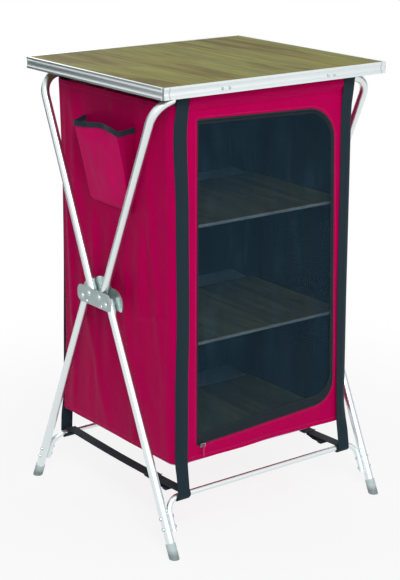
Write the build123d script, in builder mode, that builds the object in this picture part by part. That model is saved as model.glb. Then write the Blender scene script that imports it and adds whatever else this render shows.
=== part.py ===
from build123d import *
import os
from math import atan2, cos, hypot, sin

# Camping kitchen cupboard: a fabric cupboard hung in a folding frame, with a worktop above.
# Millimetres. X runs along the front (left is -X), Y to the back, Z up from the floor.

# Overall driving dimensions
TOP_W = 600.0
TOP_D = 526.0
TOP_H = 1010.0
RIM_H = 24.5
FRAME_INSET = 12.0
CAB_SIDE_GAP = 41.5
CAB_END_INSET = 41.0
CAB_LOW_Z = 180.0
CAB_TOP_DROP = 48.0

# Tubes of the folding frame
TUBE_D = 19.0
TUBE_WALL = 1.5
LEG_SPREAD = 17.5
UPPER_BEND_R = 50.0
BAR_D = 13.0
BAR_WALL = 1.3
BAR_Z = 114.0
BAR_END_Z = 50.0
BAR_BEND_R = 32.0
LEG_RIVET_END = 9.0
LEG_RIVET_PITCH = 21.0

# Pivots, as distance from the middle plane and height
LOWER_PIVOT_Y = 45.4
LOWER_PIVOT_Z = 511.0
UPPER_PIVOT_Y = 19.9
UPPER_PIVOT_RISE = 11.0
CROSS_INSET = 44.2
TUBE_END = 10.0
PIVOT_D = 8.0
PIVOT_HEAD_D = 14.0
PIVOT_HEAD_T = 3.0
PIVOT_HEAD_INNER_T = 2.0
RIVET_D = 5.0
RIVET_HEAD_D = 8.6
RIVET_HEAD_T = 2.0
RIVET_HEAD_INNER_D = 8.0
RIVET_HEAD_INNER_T = 1.5

# Hub plates
PLATE_T = 2.5
LOBE_R = 32.0
HUB_BUMP_R = 39.0
HUB_CORNER_R = 4.0
HUB_DROP = 14.0
OUTER_PLATE_L = 132.0
OUTER_PLATE_H = 38.0
OUTER_PLATE_CORNER = 15.0
OUTER_PLATE_EDGE = 0.8
SPACER_Y = 28.0
SPACER_DROP = 8.0
SPACER_R = 4.0
SPACER_HEAD_D = 9.0
SPACER_HEAD_T = 1.6
SPACER_HEAD_INNER_T = 1.4

# Feet
FOOT_D = 22.0
FOOT_L = 30.0
FOOT_FLOOR = 7.0

# Worktop
LIP = 6.2
RIM_WALL = 5.0
RECESS = 3.2
LEDGE_W = 18.0
LEDGE_T = 2.0
RETURN_W = 12.0
RETURN_T = 1.8
BOARD_T = 8.5
BOARD_DROP = 0.8
CORNER_CUT = 6.0
RAIL_RIVET_D = 3.6
RAIL_RIVET_HEAD_D = 5.6
RAIL_RIVET_HEAD_T = 1.2
RAIL_RIVET_L = 9.0
RAIL_RIVET_Z = 9.3
RAIL_RIVET_SINK = 1.6
STIFFENER_INSET = 159.0
STIFFENER_W = 32.0
RAIL_RIVET_GAP = 18.0
CRADLE_W = 30.0
CRADLE_L = 34.0
CRADLE_LIP = 4.0

# Shelves
SHELF_FRONT_INSET = 17.0
SHELF_REAR_INSET = 94.0
SHELF_T = 5.0
SHELF_EDGE_R = 1.5
UPPER_SHELF_DROP = 260.0
SHELF_PITCH = 259.0

# Cloth and webbing
CLOTH_T = 2.0
FOLD_DEPTH = 3.0
ROOF_DROP = 6.0
SIDE_FOLDS = 6
BACK_FOLDS = 6
DOOR_FOLDS = 6
STRAP_T = 2.0
STRAP_W = 26.0
STRAP_INSET = 22.5
STRAP_RUN = 18.0
BUCKLE_INSET = 110.0
BUCKLE_L = 24.0
BUCKLE_T = 4.0
TAIL_L = 52.0
TAIL_SAG = 6.0
BUCKLE_RIM = 4.0
BUCKLE_SLOT_GAP = 0.5

# Door and zip, the door's corners measured in from the front's edges
DOOR_LEFT_INSET = 61.5
DOOR_RIGHT_TOP_INSET = 64.5
DOOR_RIGHT_LOW_INSET = 46.5
DOOR_LOW_LEFT_RISE = 39.0
DOOR_LOW_RIGHT_RISE = 58.0
DOOR_TOP_LEFT_DROP = 31.0
DOOR_TOP_RIGHT_DROP = 44.0
DOOR_TOP_R = 70.0
DOOR_LOW_R = 50.0
BINDING_W = 12.0
BINDING_T = 1.6
BINDING_PROUD = 0.6
NET_T = 0.8
ZIP_W = 5.0
ZIP_T = 2.6
ZIP_PROUD = 1.0
SLIDER_L = 14.0
SLIDER_W = 9.0
SLIDER_T = 3.0
SLIDER_CORNER_R = 1.5
LUG_W = 1.4
LUG_PLAY = 0.3
PIN_R = 0.8
PIN_STAND_OFF = 1.0
PIN_LAND = 0.4
PULL_L = 26.0
PULL_W = 6.0
PULL_T = 1.4
PULL_PLAY = 0.6

# Side pocket on the left panel
POCKET_TOP_DROP = 76.0
POCKET_H = 172.0
POCKET_FRONT_INSET = 132.0
POCKET_REAR_INSET = 117.0
POCKET_LOW_INSET = 144.0
POCKET_OUT = 48.0
POCKET_LOW_OUT = 9.0
POCKET_BINDING_H = 9.0

# Slopes of the rivet heads, in degrees
HEAD_TAPER = 35
RIVET_TAPER = 25
RAIL_RIVET_TAPER = 30

# Clearances
FIT = 0.05
TUBE_GAP = 0.45
SOFT_GAP = 0.3
SEAT_GAP = 0.5

# Places worked out from the sizes above
SIDE_X = TOP_W / 2 - FRAME_INSET
CAB_W = 2 * (SIDE_X - CAB_SIDE_GAP)
CAB_D = TOP_D - 2 * CAB_END_INSET
CAB_TOP_Z = TOP_H - CAB_TOP_DROP
LEG_FOOT_Y = TOP_D / 2 + LEG_SPREAD
UPPER_PIVOT_Z = LOWER_PIVOT_Z + UPPER_PIVOT_RISE
CROSS_Y = TOP_D / 2 - CROSS_INSET
HUB_BOTTOM_Z = LOWER_PIVOT_Z - HUB_DROP
SPACER_Z = LOWER_PIVOT_Z - SPACER_DROP
STIFFENER_X = TOP_W / 2 - STIFFENER_INSET
TUBE_R = TUBE_D / 2
BAR_R = BAR_D / 2
RIM_Z = TOP_H - RIM_H
CROSS_Z = RIM_Z - SEAT_GAP - TUBE_R
LEG_L = hypot(LEG_FOOT_Y - LOWER_PIVOT_Y, LOWER_PIVOT_Z)
LEG_Y = (LEG_FOOT_Y - LOWER_PIVOT_Y) / LEG_L
LEG_Z = LOWER_PIVOT_Z / LEG_L
UPPER_L = hypot(CROSS_Y - UPPER_PIVOT_Y, CROSS_Z - UPPER_PIVOT_Z)
UPPER_Y = (CROSS_Y - UPPER_PIVOT_Y) / UPPER_L
UPPER_Z = (CROSS_Z - UPPER_PIVOT_Z) / UPPER_L
BAR_X = SIDE_X - TUBE_R - BAR_R - SOFT_GAP
INNER_PLATE_X = SIDE_X - TUBE_R - TUBE_GAP - PLATE_T
OUTER_PLATE_X = SIDE_X + TUBE_R + TUBE_GAP
CLOTH_X = CAB_W / 2
CLOTH_Y = CAB_D / 2
BOARD_BOTTOM = TOP_H - BOARD_DROP - BOARD_T
SHELF_FRONT_Y = SHELF_FRONT_INSET - CLOTH_Y
SHELF_REAR_Y = CLOTH_Y - SHELF_REAR_INSET
UPPER_SHELF_Z = CAB_TOP_Z - UPPER_SHELF_DROP
MIDDLE_SHELF_Z = UPPER_SHELF_Z - SHELF_PITCH
STRAP_X = CLOTH_X - STRAP_INSET
BUCKLE_Y = BUCKLE_INSET - CLOTH_Y
DOOR_LEFT_X = DOOR_LEFT_INSET - CLOTH_X
DOOR_RIGHT_TOP_X = CLOTH_X - DOOR_RIGHT_TOP_INSET
DOOR_RIGHT_LOW_X = CLOTH_X - DOOR_RIGHT_LOW_INSET
DOOR_LOW_LEFT_Z = CAB_LOW_Z + DOOR_LOW_LEFT_RISE
DOOR_LOW_RIGHT_Z = CAB_LOW_Z + DOOR_LOW_RIGHT_RISE
DOOR_TOP_LEFT_Z = CAB_TOP_Z - DOOR_TOP_LEFT_DROP
DOOR_TOP_RIGHT_Z = CAB_TOP_Z - DOOR_TOP_RIGHT_DROP
POCKET_TOP_Z = CAB_TOP_Z - POCKET_TOP_DROP
POCKET_LOW_Z = POCKET_TOP_Z - POCKET_H
POCKET_FRONT_Y = POCKET_FRONT_INSET - CLOTH_Y
POCKET_REAR_Y = CLOTH_Y - POCKET_REAR_INSET
POCKET_LOW_FRONT_Y = POCKET_LOW_INSET - CLOTH_Y
POCKET_LOW_REAR_Y = CLOTH_Y - POCKET_LOW_INSET

SIDES = (("left", -1), ("right", 1))
ENDS = (("front", -1), ("rear", 1))

os.makedirs("parts", exist_ok=True)


def leg_y(z):
    """Distance of a leg's centre line from the middle plane at a height."""
    return LOWER_PIVOT_Y + (LOWER_PIVOT_Z - z) * LEG_Y / LEG_Z


def save(part, name):
    """Label a finished piece and write it to its own file."""
    part.label = name
    export_step(part, f"parts/{name}.step")


def ribbon(points, thickness):
    """Corners of a strip that follows a line of points, half its thickness to each side."""
    left = []
    right = []
    for i, (u, v) in enumerate(points):
        before = points[max(i - 1, 0)]
        after = points[min(i + 1, len(points) - 1)]
        turn_in = atan2(v - before[1], u - before[0]) if i else None
        turn_out = atan2(after[1] - v, after[0] - u) if i < len(points) - 1 else turn_in
        turn_in = turn_out if turn_in is None else turn_in
        middle = (turn_in + turn_out) / 2
        reach = thickness / 2 / cos((turn_out - turn_in) / 2)
        left.append((u - reach * sin(middle), v + reach * cos(middle)))
        right.append((u + reach * sin(middle), v - reach * cos(middle)))
    return left + right[::-1]


def wave(start, end, folds, depth, thickness):
    """Closed outline of a cloth edge that runs in soft folds, as tangent arcs."""
    step = (end - start) / folds
    for face in (0, thickness):
        for i in range(folds):
            low = start + i * step
            crest = face + (depth if i % 2 else 0)
            ThreePointArc((low, face + depth / 2), (low + step / 2, crest),
                          (low + step, face + depth / 2))
    for along in (start, end):
        Line((along, depth / 2), (along, depth / 2 + thickness))


# Worktop board
with BuildPart() as worktop_board:
    with BuildSketch(Plane.XY.offset(BOARD_BOTTOM)):
        Rectangle(TOP_W - 2 * LIP - 2 * SOFT_GAP, TOP_D - 2 * LIP - 2 * SOFT_GAP)
    extrude(amount=BOARD_T)
save(worktop_board.part, "worktop_board")


def rail(name, length, across, turn):
    """One mitred edge rail: a concave outer wall, a top lip, a ledge and a bottom return."""
    half = length / 2
    ledge_z = BOARD_BOTTOM - RIM_Z
    rivet_spots = [x + g for x in (-STIFFENER_X, STIFFENER_X)
                   for g in (-RAIL_RIVET_GAP / 2, RAIL_RIVET_GAP / 2)]
    with BuildPart() as edge:
        with BuildSketch(Plane.YZ.offset(-half)):
            with BuildLine():
                recess_edge = RIM_H / 6
                ThreePointArc((0, recess_edge), (RECESS, RIM_H / 2), (0, RIM_H - recess_edge))
                Polyline((0, RIM_H - recess_edge), (0, RIM_H), (LIP, RIM_H), (LIP, ledge_z),
                         (LEDGE_W, ledge_z), (LEDGE_W, ledge_z - LEDGE_T),
                         (RIM_WALL, ledge_z - LEDGE_T), (RIM_WALL, RETURN_T),
                         (RETURN_W, RETURN_T), (RETURN_W, 0), (0, 0), (0, recess_edge))
            make_face()
        extrude(amount=length)
        with BuildSketch(Plane.XY):
            with BuildLine():
                Polyline((CORNER_CUT - half, 0), (half - CORNER_CUT, 0),
                         (half - CORNER_CUT / 2, CORNER_CUT / 2), (half - LEDGE_W, LEDGE_W),
                         (LEDGE_W - half, LEDGE_W), (CORNER_CUT / 2 - half, CORNER_CUT / 2),
                         close=True)
            make_face()
        extrude(amount=RIM_H, mode=Mode.INTERSECT)
        if name in ("front_rail", "rear_rail"):
            with Locations([(x, RIM_WALL / 2, RAIL_RIVET_Z) for x in rivet_spots]):
                Cylinder(RAIL_RIVET_D / 2 + FIT, 2 * RIM_WALL, rotation=(90, 0, 0),
                         mode=Mode.SUBTRACT)
    placed = edge.part.moved(Location((0, -across / 2, RIM_Z)))
    save(placed.rotate(Axis.Z, turn), name)


rail("front_rail", TOP_W, TOP_D, 0)
rail("rear_rail", TOP_W, TOP_D, 180)
rail("left_rail", TOP_D, TOP_W, -90)
rail("right_rail", TOP_D, TOP_W, 90)

# Two stiffener bars under the board, each with a step that slips between the rails' flanges
STIFFENER_LOW_Z = RIM_Z + RETURN_T + SOFT_GAP
STIFFENER_STEP_Z = BOARD_BOTTOM - LEDGE_T - SOFT_GAP
for side, sx in SIDES:
    with BuildPart() as stiffener:
        with BuildSketch(Plane.XY.offset(STIFFENER_LOW_Z)):
            with Locations((sx * STIFFENER_X, 0)):
                Rectangle(STIFFENER_W, TOP_D - 2 * RIM_WALL - 2 * SOFT_GAP)
        extrude(amount=STIFFENER_STEP_Z - STIFFENER_LOW_Z)
        with BuildSketch(Plane.XY.offset(STIFFENER_STEP_Z)):
            with Locations((sx * STIFFENER_X, 0)):
                Rectangle(STIFFENER_W, TOP_D - 2 * LEDGE_W - 2 * SOFT_GAP)
        extrude(amount=BOARD_BOTTOM - STIFFENER_STEP_Z)
        rivet_holes = [(sx * STIFFENER_X + gap, sy * (TOP_D / 2 - RIM_WALL),
                        RIM_Z + RAIL_RIVET_Z)
                       for gap in (-RAIL_RIVET_GAP / 2, RAIL_RIVET_GAP / 2) for sy in (-1, 1)]
        with Locations(rivet_holes):
            Cylinder(RAIL_RIVET_D / 2 + FIT, 2 * RAIL_RIVET_L, rotation=(90, 0, 0),
                     mode=Mode.SUBTRACT)
    save(stiffener.part, f"{side}_stiffener")

# Cradles under the stiffeners that sit over the cross tubes
with BuildPart() as cradles:
    for sx in (-1, 1):
        for sy in (-1, 1):
            with BuildSketch(Plane.XY.offset(RIM_Z - CRADLE_LIP)):
                with Locations((sx * STIFFENER_X, sy * CROSS_Y)):
                    Rectangle(CRADLE_W, CRADLE_L)
            extrude(amount=STIFFENER_LOW_Z - RIM_Z + CRADLE_LIP)
    with Locations((0, -CROSS_Y, CROSS_Z), (0, CROSS_Y, CROSS_Z)):
        Cylinder(TUBE_R + SEAT_GAP, TOP_W, rotation=(0, 90, 0), mode=Mode.SUBTRACT)
save(cradles.part, "cradles")

# Rivets that hold the rails to the stiffeners, their heads inside the rails' hollow face
with BuildPart() as rail_rivets:
    for sx in (-1, 1):
        for gap in (-RAIL_RIVET_GAP / 2, RAIL_RIVET_GAP / 2):
            for sy in (-1, 1):
                spot = Plane(origin=(sx * STIFFENER_X + gap, sy * (TOP_D / 2 - RAIL_RIVET_SINK),
                                     RIM_Z + RAIL_RIVET_Z), z_dir=(0, sy, 0))
                with BuildSketch(spot):
                    Circle(RAIL_RIVET_HEAD_D / 2)
                extrude(amount=RAIL_RIVET_HEAD_T, taper=RAIL_RIVET_TAPER)
                with BuildSketch(spot):
                    Circle(RAIL_RIVET_D / 2)
                extrude(amount=-(RIM_WALL + RAIL_RIVET_L / 2))
save(rail_rivets.part, "rail_rivets")


# Upper frames: one bent tube from hub to hub that carries the worktop
for end, sy in ENDS:
    foot = (UPPER_PIVOT_Y - TUBE_END * UPPER_Y, UPPER_PIVOT_Z - TUBE_END * UPPER_Z)
    with BuildPart() as upper_tube:
        with BuildLine() as upper_path:
            FilletPolyline((-SIDE_X, sy * foot[0], foot[1]), (-SIDE_X, sy * CROSS_Y, CROSS_Z),
                           (SIDE_X, sy * CROSS_Y, CROSS_Z), (SIDE_X, sy * foot[0], foot[1]),
                           radius=UPPER_BEND_R)
        with BuildSketch(Plane(origin=upper_path.line @ 0, z_dir=upper_path.line % 0)):
            Circle(TUBE_R)
            Circle(TUBE_R - TUBE_WALL, mode=Mode.SUBTRACT)
        sweep()
        with Locations((0, sy * UPPER_PIVOT_Y, UPPER_PIVOT_Z)):
            Cylinder(PIVOT_D / 2 + FIT, 2 * SIDE_X + 4 * TUBE_R, rotation=(0, 90, 0),
                     mode=Mode.SUBTRACT)
    save(upper_tube.part, f"upper_{end}_tube")


def hub_holes():
    """Places of the pivots in the hub plates' plane."""
    return [(sy * LOWER_PIVOT_Y, LOWER_PIVOT_Z) for sy in (-1, 1)] + [
        (sy * UPPER_PIVOT_Y, UPPER_PIVOT_Z) for sy in (-1, 1)]


SPACERS = [(-SPACER_Y, SPACER_Z), (SPACER_Y, SPACER_Z)]

# Hubs: two plates a side, held apart by the pivots and two spacers
for side, sx in SIDES:
    inner_x = sx * INNER_PLATE_X
    outer_x = sx * OUTER_PLATE_X
    with BuildPart() as inner_plate:
        with BuildSketch(Plane.YZ.offset(inner_x)):
            with Locations((-LOWER_PIVOT_Y, LOWER_PIVOT_Z), (LOWER_PIVOT_Y, LOWER_PIVOT_Z)):
                Circle(LOBE_R)
            with Locations((0, UPPER_PIVOT_Z)):
                Circle(HUB_BUMP_R)
            with Locations((0, HUB_BOTTOM_Z - LOBE_R)):
                Rectangle(6 * LOBE_R, 2 * LOBE_R, mode=Mode.SUBTRACT)
            fillet(vertices(), HUB_CORNER_R)
            with Locations(hub_holes()):
                Circle(PIVOT_D / 2 + FIT, mode=Mode.SUBTRACT)
            with Locations(SPACERS):
                Circle(RIVET_D / 2 + FIT, mode=Mode.SUBTRACT)
        extrude(amount=sx * PLATE_T)
    save(inner_plate.part, f"{side}_hub_inner_plate")

    with BuildPart() as outer_plate:
        with BuildSketch(Plane.YZ.offset(outer_x)):
            with Locations((0, HUB_BOTTOM_Z + OUTER_PLATE_H / 2)):
                RectangleRounded(OUTER_PLATE_L, OUTER_PLATE_H, OUTER_PLATE_CORNER)
            with Locations(hub_holes()):
                Circle(PIVOT_D / 2 + FIT, mode=Mode.SUBTRACT)
            with Locations(SPACERS):
                Circle(RIVET_D / 2 + FIT, mode=Mode.SUBTRACT)
        extrude(amount=sx * PLATE_T)
        outer_face = outer_plate.faces().sort_by(Axis.X)[-1 if sx > 0 else 0]
        chamfer(outer_face.outer_wire().edges(), OUTER_PLATE_EDGE)
    save(outer_plate.part, f"{side}_hub_outer_plate")

    inside_x = sx * INNER_PLATE_X
    outside_x = sx * (OUTER_PLATE_X + PLATE_T)
    with BuildPart() as pivots:
        with BuildSketch(Plane.YZ.offset(inside_x)):
            with Locations(hub_holes()):
                Circle(PIVOT_D / 2)
        extrude(amount=outside_x - inside_x)
        with BuildSketch(Plane.YZ.offset(outside_x)):
            with Locations(hub_holes()):
                Circle(PIVOT_HEAD_D / 2)
        extrude(amount=sx * PIVOT_HEAD_T, taper=HEAD_TAPER)
        with BuildSketch(Plane.YZ.offset(inside_x)):
            with Locations(hub_holes()):
                Circle(PIVOT_HEAD_D / 2)
        extrude(amount=-sx * PIVOT_HEAD_INNER_T, taper=HEAD_TAPER)
    save(pivots.part, f"{side}_hub_pivots")

    with BuildPart() as spacers:
        with BuildSketch(Plane.YZ.offset(inside_x)):
            with Locations(SPACERS):
                Circle(RIVET_D / 2)
        extrude(amount=outside_x - inside_x)
        with BuildSketch(Plane.YZ.offset(sx * (INNER_PLATE_X + PLATE_T))):
            with Locations(SPACERS):
                Circle(SPACER_R)
        extrude(amount=sx * (OUTER_PLATE_X - INNER_PLATE_X - PLATE_T))
        with BuildSketch(Plane.YZ.offset(outside_x)):
            with Locations(SPACERS):
                Circle(SPACER_HEAD_D / 2)
        extrude(amount=sx * SPACER_HEAD_T, taper=RIVET_TAPER)
        with BuildSketch(Plane.YZ.offset(inside_x)):
            with Locations(SPACERS):
                Circle(SPACER_HEAD_D / 2)
        extrude(amount=-sx * SPACER_HEAD_INNER_T, taper=RIVET_TAPER)
    save(spacers.part, f"{side}_hub_spacers")


# Places of the two rivets that join a bar's end to its leg
LEG_RIVETS_Z = (BAR_END_Z + LEG_RIVET_END, BAR_END_Z + LEG_RIVET_END + LEG_RIVET_PITCH)

# Legs, their feet, and the bar that ties each pair together
for end, sy in ENDS:
    for side, sx in SIDES:
        top = (sx * SIDE_X, sy * (LOWER_PIVOT_Y - TUBE_END * LEG_Y),
               LOWER_PIVOT_Z + TUBE_END * LEG_Z)
        down = (0, sy * LEG_Y, -LEG_Z)
        length = TUBE_END + LEG_L - FOOT_FLOOR / LEG_Z
        with BuildPart() as leg:
            with BuildSketch(Plane(origin=top, z_dir=down)):
                Circle(TUBE_R)
                Circle(TUBE_R - TUBE_WALL, mode=Mode.SUBTRACT)
            extrude(amount=length)
            with Locations((sx * SIDE_X, sy * LOWER_PIVOT_Y, LOWER_PIVOT_Z)):
                Cylinder(PIVOT_D / 2 + FIT, 4 * TUBE_R, rotation=(0, 90, 0), mode=Mode.SUBTRACT)
            with Locations([(sx * SIDE_X, sy * leg_y(z), z) for z in LEG_RIVETS_Z]):
                Cylinder(RIVET_D / 2 + FIT, 4 * TUBE_R, rotation=(0, 90, 0), mode=Mode.SUBTRACT)
        save(leg.part, f"{end}_{side}_leg")

        cap_top = (sx * SIDE_X, sy * leg_y(FOOT_L), FOOT_L)
        tube_tip = (sx * SIDE_X, sy * leg_y(FOOT_FLOOR), FOOT_FLOOR)
        with BuildPart() as cap:
            with BuildSketch(Plane(origin=cap_top, z_dir=down)):
                Circle(FOOT_D / 2)
            extrude(amount=2 * FOOT_L)
            split(bisect_by=Plane.XY, keep=Keep.TOP)
            with BuildSketch(Plane(origin=tube_tip, z_dir=down)):
                Circle(TUBE_R + FIT)
            extrude(amount=-2 * FOOT_L, mode=Mode.SUBTRACT)
        save(cap.part, f"{end}_{side}_foot")

    with BuildPart() as bar:
        with BuildLine() as bar_path:
            FilletPolyline((-BAR_X, sy * leg_y(BAR_END_Z), BAR_END_Z),
                           (-BAR_X, sy * leg_y(BAR_Z), BAR_Z),
                           (BAR_X, sy * leg_y(BAR_Z), BAR_Z),
                           (BAR_X, sy * leg_y(BAR_END_Z), BAR_END_Z), radius=BAR_BEND_R)
        with BuildSketch(Plane(origin=bar_path.line @ 0, z_dir=bar_path.line % 0)):
            Circle(BAR_R)
            Circle(BAR_R - BAR_WALL, mode=Mode.SUBTRACT)
        sweep()
        for sx in (-1, 1):
            with Locations([(sx * BAR_X, sy * leg_y(z), z) for z in LEG_RIVETS_Z]):
                Cylinder(RIVET_D / 2 + FIT, 4 * BAR_R, rotation=(0, 90, 0), mode=Mode.SUBTRACT)
    save(bar.part, f"{end}_bottom_bar")

    with BuildPart() as bar_rivets:
        for sx in (-1, 1):
            for z in LEG_RIVETS_Z:
                inner_x = sx * (BAR_X - BAR_R)
                outer_x = sx * (SIDE_X + TUBE_R)
                spot = Plane(origin=(inner_x, sy * leg_y(z), z), x_dir=(0, 1, 0), z_dir=(sx, 0, 0))
                outer_spot = Plane(origin=(outer_x, sy * leg_y(z), z), x_dir=(0, 1, 0),
                                   z_dir=(sx, 0, 0))
                with BuildSketch(spot):
                    Circle(RIVET_D / 2)
                extrude(amount=abs(outer_x - inner_x))
                with BuildSketch(outer_spot):
                    Circle(RIVET_HEAD_D / 2)
                extrude(amount=RIVET_HEAD_T, taper=RIVET_TAPER)
                with BuildSketch(spot):
                    Circle(RIVET_HEAD_INNER_D / 2)
                extrude(amount=-RIVET_HEAD_INNER_T, taper=RIVET_TAPER)
    save(bar_rivets.part, f"{end}_bar_rivets")


# Cupboard cloth: side and back panels in soft folds, the roof and the floor
CLOTH_H = CAB_TOP_Z - CAB_LOW_Z
for side, sx in SIDES:
    with BuildPart() as side_panel:
        plan = Plane(origin=(sx * CLOTH_X, 0, CAB_LOW_Z), x_dir=(0, sx, 0), z_dir=(0, 0, 1))
        with BuildSketch(plan):
            with BuildLine():
                wave(-CLOTH_Y, CLOTH_Y, SIDE_FOLDS, FOLD_DEPTH, CLOTH_T)
            make_face()
        extrude(amount=CLOTH_H)
    save(side_panel.part, f"{side}_side_panel")

INSIDE_X = CLOTH_X - FOLD_DEPTH - CLOTH_T - SOFT_GAP
with BuildPart() as back_panel:
    with BuildSketch(Plane(origin=(0, CLOTH_Y, CAB_LOW_Z), x_dir=(-1, 0, 0), z_dir=(0, 0, 1))):
        with BuildLine():
            wave(-INSIDE_X, INSIDE_X, BACK_FOLDS, FOLD_DEPTH, CLOTH_T)
        make_face()
    extrude(amount=CLOTH_H)
save(back_panel.part, "back_panel")

INSIDE_REAR_Y = CLOTH_Y - FOLD_DEPTH - CLOTH_T - SOFT_GAP


def inside_sheet(name, z):
    """A level sheet of cloth that fills the cupboard from wall to wall."""
    with BuildPart() as sheet:
        with BuildSketch(Plane.XY.offset(z)):
            Rectangle(2 * INSIDE_X, 2 * INSIDE_REAR_Y)
        extrude(amount=CLOTH_T)
    save(sheet.part, name)


def shelf_board(name, top_z):
    """A laminate board with a rounded front edge, lying in its cloth sling."""
    with BuildPart() as board:
        with BuildSketch(Plane.YZ.offset(-INSIDE_X)):
            with Locations(((SHELF_FRONT_Y + SHELF_REAR_Y) / 2, top_z - SHELF_T / 2)):
                Rectangle(SHELF_REAR_Y - SHELF_FRONT_Y, SHELF_T)
            fillet(vertices().group_by(Axis.X)[0], SHELF_EDGE_R)
        extrude(amount=2 * INSIDE_X)
    save(board.part, name)


inside_sheet("roof_panel", CAB_TOP_Z - ROOF_DROP)
inside_sheet("floor_panel", CAB_LOW_Z)
BASE_TOP_Z = CAB_LOW_Z + CLOTH_T + SOFT_GAP + SHELF_T
shelf_board("base_board", BASE_TOP_Z)
for level, top_z in (("upper", UPPER_SHELF_Z), ("middle", MIDDLE_SHELF_Z)):
    shelf_board(f"{level}_shelf_board", top_z)
    inside_sheet(f"{level}_shelf_sling", top_z - SHELF_T - CLOTH_T)


def door_face(grow):
    """The door's face: square at the hinge side, round at the other, grown by a margin."""
    with BuildSketch() as face:
        with BuildLine():
            Polyline((DOOR_LEFT_X, DOOR_LOW_LEFT_Z), (DOOR_LEFT_X, DOOR_TOP_LEFT_Z),
                     (DOOR_RIGHT_TOP_X, DOOR_TOP_RIGHT_Z), (DOOR_RIGHT_LOW_X, DOOR_LOW_RIGHT_Z),
                     close=True)
        make_face()
        fillet(face.vertices().sort_by(Axis.X)[2], DOOR_TOP_R)
        fillet(face.vertices().sort_by(Axis.X)[-1], DOOR_LOW_R)
        if grow:
            offset(amount=grow, kind=Kind.INTERSECTION)
    return face.sketch


HINGE_CUT_X = DOOR_LEFT_X - SOFT_GAP
DOOR_FACE = door_face(0)
NET_FACE = door_face(-BINDING_W)
ZIP_INNER = door_face(SOFT_GAP)
with BuildSketch() as zip_outer:
    add(door_face(SOFT_GAP + ZIP_W))
    with Locations((HINGE_CUT_X - TOP_W / 2, CAB_TOP_Z / 2)):
        Rectangle(TOP_W, 2 * CAB_TOP_Z, mode=Mode.SUBTRACT)
ZIP_OUTER = zip_outer.sketch

with BuildPart() as front_border:
    with BuildSketch(Plane.XZ.offset(CLOTH_Y - CLOTH_T)):
        with Locations((0, (CAB_TOP_Z + CAB_LOW_Z) / 2)):
            Rectangle(2 * INSIDE_X, CLOTH_H)
        add(ZIP_OUTER, mode=Mode.SUBTRACT)
    extrude(amount=CLOTH_T)
save(front_border.part, "front_border")

with BuildPart() as zip_tape:
    with BuildSketch(Plane.XZ.offset(CLOTH_Y - ZIP_T + ZIP_PROUD)):
        add(ZIP_OUTER)
        add(ZIP_INNER, mode=Mode.SUBTRACT)
    extrude(amount=ZIP_T)
save(zip_tape.part, "zip_tape")

with BuildPart() as door_binding:
    with BuildSketch(Plane.XZ.offset(CLOTH_Y - BINDING_T + BINDING_PROUD)):
        add(DOOR_FACE)
        add(NET_FACE, mode=Mode.SUBTRACT)
    extrude(amount=BINDING_T)
save(door_binding.part, "door_binding")

# The net fills the binding and runs in soft vertical folds
with BuildPart() as door_net:
    net_plan = Plane(origin=(0, -CLOTH_Y, DOOR_LOW_LEFT_Z), x_dir=(1, 0, 0), z_dir=(0, 0, 1))
    with BuildSketch(net_plan):
        with BuildLine():
            wave(DOOR_LEFT_X, DOOR_RIGHT_LOW_X, DOOR_FOLDS, FOLD_DEPTH, NET_T)
        make_face()
    extrude(amount=DOOR_TOP_LEFT_Z - DOOR_LOW_LEFT_Z)
    with BuildSketch(Plane.XZ.offset(CLOTH_Y - 3 * FOLD_DEPTH)):
        add(NET_FACE)
    extrude(amount=4 * FOLD_DEPTH, mode=Mode.INTERSECT)
save(door_net.part, "door_net")

# Zip slider at the closed end of the zip, and its pull on a small pin
SLIDER_X = DOOR_LEFT_X + SLIDER_L
SLIDER_Z = DOOR_LOW_LEFT_Z - SOFT_GAP - SLIDER_W / 2
ZIP_FACE_Y = -CLOTH_Y - ZIP_PROUD
PIN_Y = ZIP_FACE_Y - SLIDER_T - PIN_R - PIN_STAND_OFF
LUG_X = (PULL_W + LUG_W) / 2 + LUG_PLAY
with BuildPart() as slider:
    with Locations((SLIDER_X, ZIP_FACE_Y - SLIDER_T / 2, SLIDER_Z)):
        Box(SLIDER_L, SLIDER_T, SLIDER_W)
    fillet(slider.edges().filter_by(Axis.Y), SLIDER_CORNER_R)
    for sx in (-1, 1):
        with Locations((SLIDER_X + sx * LUG_X, PIN_Y + PIN_R, SLIDER_Z)):
            Box(LUG_W, 4 * PIN_R + PIN_STAND_OFF, 4 * PIN_R)
    with Locations((SLIDER_X, PIN_Y, SLIDER_Z)):
        Cylinder(PIN_R, 2 * LUG_X + PIN_LAND, rotation=(0, 90, 0))
save(slider.part, "zip_slider")

with BuildPart() as zip_pull:
    with BuildSketch(Plane.YZ.offset(SLIDER_X - PULL_W / 2 + PULL_PLAY)):
        with Locations((PIN_Y, SLIDER_Z)):
            Circle(2 * PIN_R)
        with Locations((PIN_Y - PIN_R / 2, SLIDER_Z - PULL_L / 2)):
            Rectangle(PULL_T, PULL_L)
        with Locations((PIN_Y, SLIDER_Z)):
            Circle(PIN_R + FIT, mode=Mode.SUBTRACT)
    extrude(amount=PULL_W - 2 * PULL_PLAY)
    fillet(zip_pull.edges().filter_by(Axis.Y).group_by(Axis.Z)[0], SLIDER_CORNER_R)
save(zip_pull.part, "zip_pull")

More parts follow.
